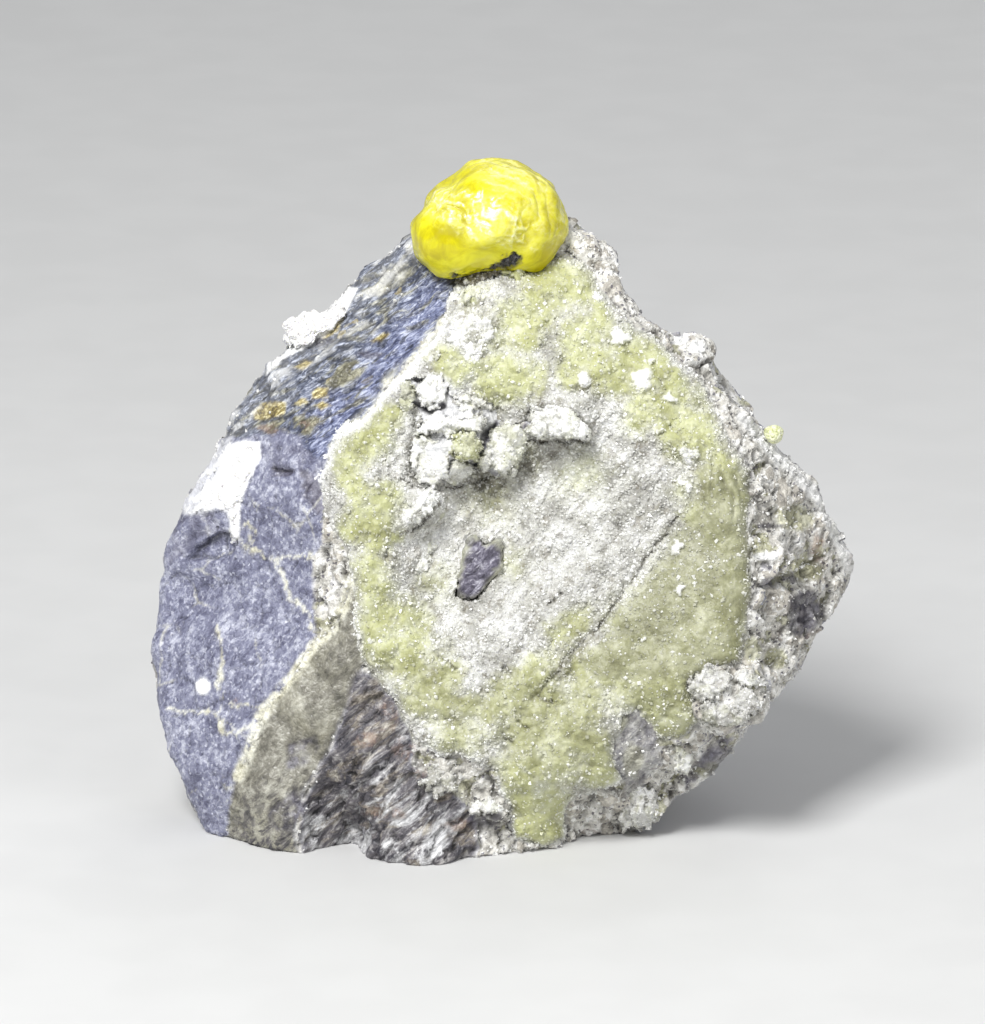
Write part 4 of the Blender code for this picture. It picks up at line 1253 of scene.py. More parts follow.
        # Dark tint, and painted shadow in the teal dip
        colour = s.mix(s.marked("dark_tint_and_dip_shade"), colour, self.inky.on(s, mixed, 0.34, 0.56))
        patchy = s.between(mixed, 0.44, 0.54)
        stained = s.sums("MULTIPLY", s.marked("stain"), patchy)
        colour = s.mix(stained, colour, self.rust.on(s, mixed, 0.42, 0.60))
        veined = s.sums("MULTIPLY", s.marked("vein"), s.between(fine, 0.38, 0.52))
        colour = s.mix(veined, colour, self.cream.on(s, mixed, 0.38, 0.54))
        colour = s.mix(s.marked("pale"), colour, self.white.on(s, mixed, 0.36, 0.50))
        # The dark field: painted shadow below the ledge blocks and along the cracks, with dark joints and
        # dark spots
        colour = s.mix(s.marked("dark"), colour, self.inky.on(s, mixed, 0.42, 0.66))
        colour = s.mix(s.marked("inky"), colour, self.inky.on(s, mixed, 0.38, 0.60))
        # Near-black in the cleft at the ball's foot: partly dark matter, partly painted shadow
        colour = s.mix(s.marked("blackening"), colour, self.crevice_shade)
        colour = s.pitted(colour, self.crevice_shade, 0.65)
        s.raised(s.mean(fine, s.between(s.grains(0.5), 0.0, 0.3)), 0.10)
        return s.done(colour, s.between(speck, 0.35, 0.65, 0.60, 0.32))


@dataclass(frozen=True)
class DruseFinish:
    """A crust of fine crystals, or the crystals on it."""

    name: str
    roughness: tuple[float, float]
    glow: float
    relief: float = 0.07
    # How strongly the hollows are painted with shade
    pits: float = 0.32
    plain: Tones = Tones((158, 156, 149), (195, 194, 188), (224, 224, 222))
    yellow: Tones = Tones((158, 159, 106), (185, 187, 138), (209, 211, 174))
    sheet: Tones = Tones((114, 113, 82), (148, 148, 116), (180, 180, 152))
    shade: Tones = Tones((44, 40, 32), (96, 90, 74), (160, 156, 142))
    white: Tones = Tones((196, 196, 194), (244, 244, 240), (253, 253, 251))
    brown: Colour = (118, 108, 88)

    def build(self) -> bpy.types.Material:
        """Makes the material.

        Returns:
            The new material.
        """
        s = Shader(self.name)
        speck = s.noise(0.30, 3, 0.6)
        cloud = s.noise(3.6, 8, 0.70, None, 0.5)
        mixed = s.mean(cloud, s.mean(cloud, speck))
        soft = s.mean(cloud, s.noise(2.0, 3, 0.5))
        plain = self.plain.on(s, mixed, 0.40, 0.58)
        plain = s.mix(s.between(s.chips(0.7, 0.6), 0.90, 0.92, 0.0, 0.45), plain, self.brown)
        colour = s.mix(s.marked("yellow"), plain, self.yellow.on(s, s.mean(soft, mixed), 0.37, 0.63))
        # The sheet tone: the smooth olive sheet's colour, and painted shade on the crust's lower part
        colour = s.mix(s.marked("sheet_tone"), colour, self.sheet.on(s, s.mean(mixed, soft), 0.38, 0.62))
        # Dark tones: stains and cracks, with painted shadow along cracks, edges and below the ledge
        colour = s.mix(s.marked("dark"), colour, self.shade.on(s, mixed, 0.40, 0.62))
        colour = s.mix(s.marked("pale"), colour, self.white.on(s, mixed, 0.36, 0.50))
        colour = s.pitted(colour, self.shade.middle, self.pits)
        s.raised(s.mean(speck, s.between(s.grains(0.3, "F1"), 0.0, 0.6, 1.0, 0.0)), self.relief)
        smooth, rough = self.roughness
        return s.done(colour, s.between(speck, 0.38, 0.62, smooth, rough), self.glow, 0.7)


@dataclass(frozen=True)
class WaxFinish:
    """The waxy yellow of the crystal ball, creamy where its growth is rough."""

    clear: Tones = Tones((192, 180, 0), (215, 207, 8), (232, 226, 40))
    cream: Tones = Tones((226, 222, 84), (243, 241, 158), (253, 253, 222))
    blackening: Tones = Tones((14, 13, 14), (38, 36, 38), (96, 94, 96))
    shade: Colour = (150, 128, 6)

    def build(self) -> bpy.types.Material:
        """Makes the material.

        Returns:
            The new material.
        """
        s = Shader("yellow_wax")
        speck = s.noise(0.4, 4, 0.6)
        cloud = s.noise(3.0, 6, 0.62, None, 0.8)
        colour = self.clear.on(s, cloud, 0.38, 0.62)
        colour = s.mix(s.marked("cream"), colour, self.cream.on(s, s.mean(cloud, speck), 0.40, 0.58))
        colour = s.pitted(colour, self.shade, 0.6)
        colour = s.mix(s.marked("blackening"), colour, self.blackening.on(s, speck, 0.40, 0.62))
        s.raised(cloud, 0.07)
        return s.done(colour, s.between(speck, 0.4, 0.6, 0.12, 0.24), 0.35, 1.4)


@dataclass(frozen=True)
class VeinFinish:
    """White vein mineral with grey specks between its grains."""

    name: str
    tones: Tones

    def build(self) -> bpy.types.Material:
        """Makes the material.

        Returns:
            The new material.
        """
        s = Shader(self.name)
        speck = s.noise(0.35, 5, 0.65)
        cloud = s.noise(2.8, 7, 0.70, None, 0.6)
        colour = self.tones.on(s, s.mean(speck, cloud), 0.38, 0.50)
        colour = s.mix(s.sums("MULTIPLY", s.hairs(1.8, 0.014), 0.6), colour, self.tones.dark)
        colour = s.pitted(colour, self.tones.dark, 0.7)
        s.raised(s.mean(cloud, s.between(s.grains(0.4), 0.0, 0.3)), 0.14)
        return s.done(colour, s.between(speck, 0.35, 0.65, 0.5, 0.32), 0.1, 0.5)


@dataclass(frozen=True)
class FloorFinish:
    """A plain pale studio floor with a faint grain."""

    tones: Tones = Tones((207, 207, 206), (208, 208, 207), (209, 209, 208))

    def build(self) -> bpy.types.Material:
        """Makes the material.

        Returns:
            The new material.
        """
        s = Shader("pale_floor")
        speck = s.noise(9.0, 2, 0.5)
        return s.done(self.tones.on(s, speck), s.between(speck, 0.3, 0.7, 0.75, 0.85))


# ---- the specimen's sub-assemblies ----

def pits(surface: Surface, passes: int, depth: float) -> Array:
    """Finds hollows as wide as some smoothing passes, for painted shade: 0 on the ridges to 1 at that depth
    in millimetres.
    """
    away = surface.smoothed(surface.points, passes) - surface.points
    return smooth_step((away * surface.normals()).sum(axis=1), 0.0, depth)


@dataclass
class HostRock:
    """The broken rock: its flanks, rim, ledge and back, with relief in the mesh."""

    voxel: float = 0.25
    passes: int = 7
    faces: int = 190_000
    fibre_deg: float = 33.0
    splinter_deg: float = 42.0

    def masks(self, points: Array, normals: Array) -> dict[str, Array]:
        """Says which kind of surface each point has.

        Args:
            points: The rock's points.
            normals: Its normals.

        Returns:
            A value from 0 to 1 for each kind, by name.
        """
        places = warped(points, 0.45, 2.2)
        sharp = warped(points, 0.12, 0.7)
        facing = smooth_step(normals[:, 2], -0.1, 0.3)

        def zone(outline: Outline, soft: float = 0.2, where: Array = places) -> Array:
            """Marks the inside of an outline: 1 inside, 0 outside, with a soft border."""
            return smooth_step(depth_inside(outline, where), -soft, soft)

        slick = zone(SLICK_OUTLINE, 0.25)
        violet = zone(VIOLET_OUTLINE, 0.12, sharp)
        olive = zone(OLIVE_OUTLINE, 0.2, sharp) * facing * (1 - violet)
        olive = np.maximum(olive, 0.6 * zone(FIBRE_OUTLINE, 0.6) * facing)
        slate = np.maximum(zone(SLATE_OUTLINE, 0.4), 0.2 * zone(FIBRE_OUTLINE, 0.6)) * facing
        crust = smooth_step(depth_inside(CRUST_OUTLINE, places), -0.2, 0.4) * facing
        ledge = zone(LEDGE_OUTLINE, 0.3) * facing
        chip = zone(CHIP_OUTLINE, 0.15, sharp) * facing
        patches = smooth_step(fractal(points, 9.0, 4, 5.0), -0.05, 0.25) * (1 - facing)
        taken = np.maximum.reduce((slick, violet, olive, slate, crust))
        grainy = np.maximum(facing * (1 - taken), patches * 0.8)
        crooked = warped(points, 0.45, 1.1, 14.0)
        width = 0.17 + 0.12 * fractal(points, 1.6, 2, 16.0)
        vein = np.maximum(lined(CREAM_VEINS, crooked, width), lined(CRESTS, places, 0.42))
        _, inner, _ = cells(warp3(points, 0.6, 2.4), 5.5, 3.0)
        web = smooth_step(inner, 0.045, 0.01) * smooth_step(fractal(points, 5.0, 2, 8.0), 0.0, 0.3)
        vein = np.maximum(vein * facing, web * (violet + (1 - facing)).clip(0, 1) * 0.55)
        crest = smooth_step(edge_distance(CRESTS[1], sharp), 0.8, 0.3)
        vein = np.maximum(vein, crest * facing)
        wisps = fractal(along(points, self.fibre_deg, 3.0, 0.8, 1.2), 1.0, 4, 9.0)
        flakes = np.maximum.reduce([zone(outline, 0.15, sharp) for outline in GOLD_FLAKES])
        lenses = np.maximum.reduce([zone(outline, 0.4) for outline in OLIVE_LENSES])
        lenses = lenses * smooth_step(wisps, -0.35, 0.15)
        inky = np.maximum.reduce([zone(outline, 0.25, sharp) for outline in DARK_CRYSTALS_AND_SHADE])
        inky = inky * (0.25 + 0.55 * smooth_step(fractal(points, 1.1, 4, 18.0), -0.4, 0.3))
        rim = edge_distance(LEFT_EDGE, places) - 2.2 * fractal(points, 2.0, 4, 10.0)
        white = np.maximum.reduce((
            zone(PATCH_SURROUND, 0.15, sharp), zone(KNOB_SURROUND, 0.15, sharp),
            (0.50 + 0.30 * smooth_step(wisps, -0.05, 0.3)) * zone(PATCH_EDGE, 0.3, sharp),
            (0.08 + 0.46 * smooth_step(wisps, -0.05, 0.3)) * smooth_step(rim, 3.8, 0.4) * slick,
            spots(sharp, WHITE_SPOTS),
            # The right shoulder's white line: partly white stone, partly painted highlight along the edge
            0.75 * smooth_step(edge_distance(RIGHT_CREST, sharp), 0.9, 0.3),
        ))
        # Dark tint of the brown band, the shell's brow and the navy strip, with painted shadow in the teal
        # dip
        dark_tint_and_dip_shade = np.maximum.reduce((
            0.22 * zone(BROWN_BAND, 0.4), 0.85 * zone(TEAL_DIP_SHADOW, 0.25), 0.35 * zone(SHELL_BROW, 0.3),
            0.85 * zone(NAVY_STRIP, 0.2, sharp),
        )) * smooth_step(fractal(points, 1.6, 5, 12.0), -0.5, 0.1)
        # Painted shadow below the ledge blocks, carried in the dark field
        cleft = zone(UNDERCUT_SHADOW, 0.5) * 0.55
        # Cracks and slits, grooved and painted dark: partly stain, partly painted shadow
        crack = lined((DIAGONAL,) + SLITS_AND_SHADOW_LINES, sharp, 0.26)
        slant = points[:, 1] - 0.5 * points[:, 0] - 3.0 * fractal(points, 4.0, 2, 15.0)
        covered = smooth_step(depth_inside(CRUST_OUTLINE, points[:, :2]), 0.0, 1.0)
        return {
            "slick": slick, "grainy": grainy, "olive": olive, "slate": slate,
            "druse": crust * (1 - ledge), "ledge": ledge, "chip": chip, "vein": vein,
            "stain": 0.7 * spots(places, STAINS) * facing, "pale": white * facing,
            "gold": flakes * facing, "lens": lenses * facing, "dark_tint_and_dip_shade": dark_tint_and_dip_shade * facing,
            "moss": spots(places, OLIVE_SPOTS) * facing * 0.8,
            "blackening": zone(CLEFT_OUTLINE, 0.2, sharp) * facing, "inky": inky * facing,
            "ash": (slate + olive).clip(0, 1) * smooth_step(slant, 22.0, 13.0),
            # Dark: painted shadow below the ledge blocks, the cracks, and dark spots, some of them painted
            # shadow lines
            "dark": np.maximum.reduce((cleft, crack, spots(places, DARK_SPOTS_AND_SHADOWS) * 0.7)) * facing,
            "bluish": smooth_step(edge_distance(CREST, places), 6.0, 1.5) * slick,
            "crack": crack * facing,
            "shell": zone(SHELL_HOLLOW, 0.12, sharp) * facing,
            "covered": covered * facing * (1 - ledge),
        }

    def relief(self, points: Array, kinds: dict[str, Array], broken: Array) -> Array:
        """Gives the height of the rock's relief.

        Args:
            points: The rock's points.
            kinds: The masks of its points.
            broken: Height of the broken blocks and crumbs.

        Returns:
            Heights along the normals, in millimetres.
        """
        broad = 0.30 * fractal(points, 3.2, 4, 1.0) + 0.10 * fractal(points, 0.9, 3, 2.0)
        fibres = fractal(along(warp3(points, 0.7, 1.8), self.fibre_deg, 2.6, 0.5, 1.4), 1.0, 4, 3.0)
        steps = 4.0 * fractal(along(points, self.fibre_deg, 8.0, 1.7, 3.0), 1.0, 3, 4.0)
        steps = (np.floor(steps) + smooth_step(steps - np.floor(steps), 0.72, 1.0)) / 4.0
        slick = 0.16 * fibres + 0.55 * steps
        splinters = fractal(along(points, self.splinter_deg, 3.6, 0.6, 1.6), 1.0, 4, 5.0)
        shards, _, _ = facets(along(warp3(points, 0.6, 2.0), self.splinter_deg, 4.0, 1.3, 2.0), 1.0, 1.1, 6.0)
        slate = 0.18 * splinters + 0.68 * shards - 0.33
        grainy = broken - 0.65 + 0.35 * fractal(points, 2.6, 4, 7.0)
        glint, _, _ = facets(points, 0.6, 1.5, 11.0)
        _, plate, plate_value = cells(warp3(points, 1.0, 3.0), 4.2, 9.0)
        flat_plates = 0.28 * plate_value - 0.12 * smooth_step(plate, 0.05, 0.0)
        violet = 0.40 * broad + 0.07 * glint + flat_plates
        height = violet
        for name, value in (
            ("slick", slick), ("grainy", grainy), ("olive", 0.25 * slate + 0.9 * broad), ("slate", slate),
            ("druse", 0.5 * grainy + 0.3 * broad), ("ledge", 0.6 * grainy),
            ("chip", 0.5 * splinters + 0.3 * shards),
        ):
            height = height + kinds[name] * (value - height)
        height = height + 0.06 * kinds["vein"] + 0.14 * kinds["pale"] - 0.55 * kinds["crack"]
        sunk = 0.45 * kinds["covered"] * (1 - kinds["chip"]) + 0.35 * kinds["ledge"]
        height = height + 0.12 * kinds["gold"] - 0.3 * kinds["dark_tint_and_dip_shade"]
        height = height - 0.25 * kinds["inky"] + 0.35 * kinds["slate"] * (1 - kinds["ash"])
        return height - 0.9 * kinds["shell"] - sunk + 0.55 * kinds["chip"]

    def build(self) -> Surface:
        """Makes the rock's surface with its relief and masks.

        Returns:
            The finished surface.
        """
        surface = fine_copy("matrix", self.voxel, self.passes)
        normals = surface.smoothed(surface.normals(), 4)
        kinds = self.masks(surface.points, normals)
        block, _, blocky = facets(warp3(surface.points, 0.35, 1.4), 2.5, 1.2, 1.0)
        crumb, _, crumbly = facets(warp3(surface.points, 0.15, 0.6), 0.9, 1.1, 2.0)
        surface.fields["block"] = 0.65 * blocky + 0.35 * crumbly
        relief = self.relief(surface.points, kinds, 0.95 * block + 0.28 * crumb)
        surface.points = surface.points + normals * relief[:, None]
        keep = 0.25 + 0.75 * smooth_step(normals[:, 2], -0.5, 0.2) - 0.5 * kinds["covered"]
        surface = surface.cut_down(self.faces, keep.clip(0, 1))
        surface.points = seated(surface.points)
        kinds = self.masks(surface.points, surface.smoothed(surface.normals(), 6))
        for name, values in kinds.items():
            if name not in ("crack", "shell", "covered"):
                surface.fields[name] = values
        surface.fields["pit"] = pits(surface, 6, 0.18)
        return surface


def seated(points: Array) -> Array:
    """Lifts whatever the relief pushed below the floor.

    Args:
        points: Points in the face's frame.

    Returns:
        The points with none below the object's base.
    """
    up = np.array(FACE.to_object())[2]
    rise = np.clip(-(points @ up[:3] + up[3]), 0, None) / FACE.unit
    return points + rise[:, None] * up[:3] / FACE.unit


def tinted(places: Array, patches: Rounds, power: float) -> Array:
    """Marks round patches that melt together.

    Args:
        places: An n x 2 array.
        patches: Centre and reach of each patch.
        power: How sharp the patches' borders are.

    Returns:
        0 outside to 1 inside, for each place.
    """
    left = np.ones(len(places))
    for u, v, reach in patches:
        away2 = ((places[:, 0] - u) ** 2 + (places[:, 1] - v) ** 2) / reach ** 2
        left = left * (1 - 0.95 * np.exp(-away2 ** power))
    return 1 - left


def druse_tint(points: Array) -> Array:
    """Gives how yellow the druse is, the same for every piece of it.

    Args:
        points: An n x 3 array in the face's frame.

    Returns:
        0 for grey-white to 1 for yellow-green.
    """
    flat = points * (1, 1, 0)
    places = warped(flat, 0.55, 1.9, 61.0)
    places = places + warped(flat, 0.25, 0.6, 62.0) - flat[:, :2]
    wider = tuple((u, v, 1.18 * reach) for u, v, reach in YELLOW_PATCHES)
    tint = tinted(places, wider, 1.6)
    tint = np.maximum(tint, 0.6 * tinted(places, OLIVE_TINTS, 1.0))
    return (tint + 0.30 * fractal(flat, 0.9, 4, 63.0) * (0.3 + tint)).clip(0, 1)


def cracks(flat: Array) -> Array:
    """Marks the diagonal crack and the slits, whose dark paint is partly stain and partly painted shadow.

    Args:
        flat: A grid's points.

    Returns:
        1 in the cracks to 0 away from them.
    """
    sharp = warped(flat, 0.3, 0.9, 21.0)
    width = 0.32 + 0.24 * fractal(flat, 1.6, 3, 23.0)
    deep = 0.75 + 0.5 * fractal(flat, 1.2, 2, 25.0)
    return np.maximum(deep * lined((DIAGONAL,), sharp, width), lined(SLITS_AND_SHADOW_LINES, sharp, 0.2))


def crack_foot(flat: Array) -> Array:
    """Marks the bare brownish band at the foot of the diagonal crack."""
    far = edge_distance(CRACK_FOOT, warped(flat, 0.5, 1.2, 27.0))
    return 0.6 * smooth_step(far, 0.8, 0.2) * smooth_step(fractal(flat, 0.9, 4, 28.0), -0.5, 0.2)


@dataclass
class DruseCrust:
    """The pale yellow-green crust over the front, with its mounds, curtains and white blebs."""

    step: float = 0.15
    thickness: float = 1.5
    overlap: float = 0.4
    mound: float = 2.3
    curtain: float = 1.25

    def build(self, tree: BVHTree) -> Surface:
        """Makes the crust over the rock.

        Args:
            tree: The rock's solid.

        Returns:
            The finished surface.
        """
        grid = SheetGrid((-19, 1), (27, 62), self.step)
        flat = grid.flat
        shaken = np.column_stack((fractal(flat, 0.5, 2, 12.0), fractal(flat, 0.5, 2, 13.0)))
        wander = warped(flat, 0.35, 1.6, 11.0) + 0.18 * shaken
        inner = depth_inside(CRUST_OUTLINE, wander)
        hole = -np.maximum(depth_inside(HOLLOW_OUTLINE, wander), depth_inside(LEDGE_OUTLINE, wander))
        front = grid.spread(fronts(tree, grid.places), 0.7)
        sheet_tone = smooth_step(depth_inside(RIBS_OUTLINE, wander), -1.2, 1.2)
        tint = druse_tint(flat)
        near, _, value = cells(warp3(flat, 0.5, 2.0), self.mound, 4.0)
        small, _, _ = cells(flat, 0.8, 5.0)
        mounds = 0.6 * (1 - near ** 2) * (0.6 + 0.6 * value) + 0.14 * (1 - small)
        wave = flat[:, 0] + 0.08 * (flat[:, 1] - 33) + 0.8 * fractal(flat, 3.0, 3, 14.0)
        upper = smooth_step(flat[:, 1] + 1.2 * np.sin(wave * 1.7), 33.0, 37.0)
        upper = upper * smooth_step(flat[:, 0], 19.5, 21.0)
        curtains = 0.45 * upper * np.abs(np.cos(math.pi * wave / self.curtain)) + 0.35 * (1 - near ** 2)
        body = mounds + sheet_tone * (curtains + 0.25 * fractal(flat, 3.2, 3, 20.0) - mounds)
        sugary = (1 - 0.85 * tint) * (1 - 0.8 * sheet_tone)
        _, inside, grain = cells(warp3(flat, 0.15, 0.6), 0.75, 6.0)
        rough = 0.42 * fractal(flat, 1.8, 4, 15.0) * (1 - 0.5 * sheet_tone) + 0.05 * fractal(flat, 0.35, 2, 16.0)
        rough = rough + sugary * (0.22 * grain + 0.12 * smooth_step(inside, 0.0, 0.35) - 0.45) + 0.15 * tint
        blebs = spots(warped(flat, 0.7, 1.0, 17.0), BLEBS)
        rim = self.thickness * (1 - np.exp(-(inner + self.overlap) / 0.6)) - 0.75
        height = np.minimum(rim, 0.35 + 0.4 * smooth_step(hole, -0.4, 1.6))
        diagonal = cracks(flat)
        cloudy = smooth_step(fractal(flat, 3.0, 5, 26.0), -0.1, 0.4)
        height = height + (body + rough) * smooth_step(inner, -0.3, 0.9) * smooth_step(hole, -0.6, 0.8)
        height = height + 0.35 * blebs - 0.45 * diagonal
        surface, used = grid.sheet(front + height, (inner > -self.overlap) & (hole > -0.6))
        surface.fields = {
            "yellow": (tint * smooth_step(inner, -0.3, 0.5))[used],
            "pale": np.maximum(0.85 * blebs, 0.8 * self.crest(wander))[used],
            # Dark: the diagonal crack, partly stain and partly painted shadow; the crack's foot, a stain;
            # clouds on the sheet; and painted shadow along the crust's right step edge
            "dark": np.maximum.reduce((
                diagonal * (0.5 + 0.8 * fractal(flat, 1.2, 3, 22.0)), crack_foot(flat), 0.16 * cloudy * sheet_tone,
                0.45 * smooth_step(inner, 0.5, 0.0) * smooth_step(flat[:, 0], 21.0, 23.0),
            )).clip(0, 1)[used],
            # Sheet tone: the smooth olive sheet, and painted shade that darkens the crust's lower part
            "sheet_tone": np.maximum(
                0.9 * sheet_tone * (1 - 0.3 * cloudy),
                0.5 * smooth_step(flat[:, 1], 22.0, 17.0) * smooth_step(flat[:, 1], 7.5, 12.0) * tint,
            )[used],
            "pit": pits(surface, 8, 0.16),
        }
        return surface

    def crest(self, places: Array) -> Array:
        """Marks the white crest on the crust's upper left border.

        Args:
            places: An n x 2 array.

        Returns:
            1 on the crest to 0 away from it.
        """
        far = edge_distance(CREST, places)
        broken = fractal(np.column_stack((places, np.zeros(len(places)))), 2.4, 4, 24.0)
        return smooth_step(far + 0.9 * broken, 1.0, 0.3)


@dataclass
class HollowLining:
    """The sugary grey-white crust in the hollow, with streaks beside the diagonal crack."""

    step: float = 0.15
    overlap: float = 1.3
    streak_deg: float = 51.0

    def build(self, tree: BVHTree) -> Surface:
        """Makes the lining over the rock.

        Args:
            tree: The rock's solid.

        Returns:
            The finished surface.
        """
        grid = SheetGrid((-14, 17), (21, 49), self.step)
        flat = grid.flat
        wander = warped(flat, 0.3, 1.6, 31.0)
        edge = depth_inside(HOLLOW_OUTLINE, wander) + self.overlap
        chip = -depth_inside(CHIP_OUTLINE, warped(flat, 0.12, 0.7))
        front = grid.spread(fronts(tree, grid.places), 0.7)
        streaks = fractal(along(flat, self.streak_deg, 5.0, 1.0, 1.0), 1.0, 4, 32.0)
        near, _, value = cells(flat, 1.1, 33.0)
        _, inside, grain = cells(warp3(flat, 0.15, 0.6), 0.55, 34.0)
        body = 0.36 * streaks + 0.12 * (1 - near ** 2) * value + 0.11 * grain
        body = body + 0.07 * smooth_step(inside, 0, 0.3)
        body = body + 0.20 * fractal(flat, 2.4, 5, 35.0) - 0.04
        crack = cracks(flat)
        height = 0.65 - 1.1 * smooth_step(edge, 0.5, 0.0) - 1.0 * smooth_step(chip, 0.35, 0.0)
        height = height + body * smooth_step(chip, 0.0, 0.6) - 0.5 * crack
        ledge = depth_inside(LEDGE_OUTLINE, wander)
        height = height - 0.9 * smooth_step(ledge, -0.3, 0.9)
        kept = (edge > 0) & (chip > 0.05) & (ledge < 1.2)
        surface, used = grid.sheet(front + height, kept)
        # Painted shadow below the ledge blocks
        under = smooth_step(depth_inside(UNDERCUT_SHADOW, warped(flat, 0.5, 1.5, 36.0)), -1.6, 0.8)
        blackening = smooth_step(fractal(along(flat, self.streak_deg, 3.5, 0.7, 1.0), 1.0, 4, 37.0), 0.12, 0.5)
        beside = smooth_step(edge_distance(DIAGONAL, flat[:, :2]), 6.5, 1.0)
        bottom = smooth_step(flat[:, 1], 33.0, 26.0) * (0.08 + 0.16 * smooth_step(streaks, -0.3, 0.4))
        streak = smooth_step(edge_distance(STREAK, warped(flat, 0.5, 1.4, 38.0)), 0.9, 0.1)
        # The first two entries are painted shade, around the ledge and below its blocks. The streak and the
        # crack's foot are stains; beside and bottom darken the lining near the crack and towards the bottom.
        shade = np.maximum.reduce((
            smooth_step(ledge, -0.3, 0.3) * 0.5,
            under * (0.35 + 0.45 * smooth_step(fractal(flat, 0.9, 4, 41.0), -0.2, 0.4)),
            0.6 * streak * smooth_step(fractal(flat, 0.8, 4, 40.0), -0.5, 0.3),
            crack_foot(flat), beside * (0.10 + 0.22 * smooth_step(streaks, -0.2, 0.4)), bottom,
        ))
        frost = 0.25 * smooth_step(fractal(flat, 2.6, 4, 39.0), 0.1, 0.5)
        surface.fields = {
            "yellow": druse_tint(flat)[used],
            "pale": (frost * (1 - under) * (1 - beside))[used],
            # Dark: the cracks, partly painted shadow; the painted shade and stains listed above; faint
            # streaks
            "dark": np.maximum.reduce((0.95 * crack, shade, 0.22 * blackening)).clip(0, 1)[used],
            "sheet_tone": np.zeros(len(used)),
            "pit": pits(surface, 6, 0.17),
        }
        return surface


@dataclass
class BrokenBlocks:
    """The blocks that stand out of the ledge, the crust and the rim."""

    step: float = 0.12
    skirt: float = 1.9

    def build(self, tree: BVHTree) -> Surface:
        """Makes all the blocks.

        Args:
            tree: The rock's solid.

        Returns:
            All of them as one surface.
        """
        surface = Surface.joined([self.one(tree, number, block) for number, block in enumerate(BLOCKS)])
        surface.fields["pit"] = pits(surface, 6, 0.13)
        return surface

    def one(self, tree: BVHTree, number: int, block: Block) -> Surface:
        """Makes one block over the rock.

        Args:
            tree: The rock's solid.
            number: The block's number, which seeds its relief.
            block: Its outline and tint.

        Returns:
            Its surface.
        """
        corners = np.array(block.outline)
        low, high = corners.min(axis=0) - 0.6, corners.max(axis=0) + 0.6
        grid = SheetGrid(tuple(low), tuple(high), self.step)
        flat = grid.flat
        ragged = warped(flat, 0.5, 1.3, 70.0 + number) + warped(flat, 0.25, 0.45, 90.0) - flat[:, :2]
        inner = depth_inside(block.outline, ragged)
        front = grid.spread(fronts(tree, grid.places), 0.6)
        level = np.percentile(front[inner > 0.1], 70)
        crown = 0.55 * front + 0.45 * level + block.rise
        crown = crown + block.lean * (corners[:, 1].mean() - flat[:, 1])
        face, seam, _ = facets(warp3(flat, 0.3, 1.2), 2.2, 1.1, 74.0 + number)
        crumb, _, _ = facets(warp3(flat, 0.15, 0.6), 0.75, 1.1, 72.0)
        crown = crown + 0.75 * face + 0.20 * crumb + 0.5 * fractal(flat, 1.6, 4, 71.0 + number) - 0.55
        drop = self.skirt * smooth_step(inner, 0.18, -0.2) + 0.25 * np.exp(-inner.clip(0) / 0.3)
        surface, used = grid.sheet(crown - drop, inner > -0.2)
        stains = smooth_step(fractal(flat, 1.4, 3, 73.0), 0.1, 0.4)
        surface.fields = {
            "yellow": (block.yellow + 0.25 * stains)[used].clip(0, 1),
            "pale": ((0.18 + 0.82 * block.pale) * (1 - block.yellow) * (1 - block.dark)
                     * (1 - 0.5 * stains) * smooth_step(inner, -0.1, 0.3))[used],
            # Dark: painted shade along the block's edge and in the seams between its faces, and the block's
            # own dark tone
            "dark": np.maximum.reduce((
                0.5 * smooth_step(inner, 0.08, -0.15), 0.3 * smooth_step(seam, 0.04, 0.0),
                np.full(len(inner), block.dark),
            ))[used],
            "sheet_tone": np.zeros(len(used)),
        }
        return surface


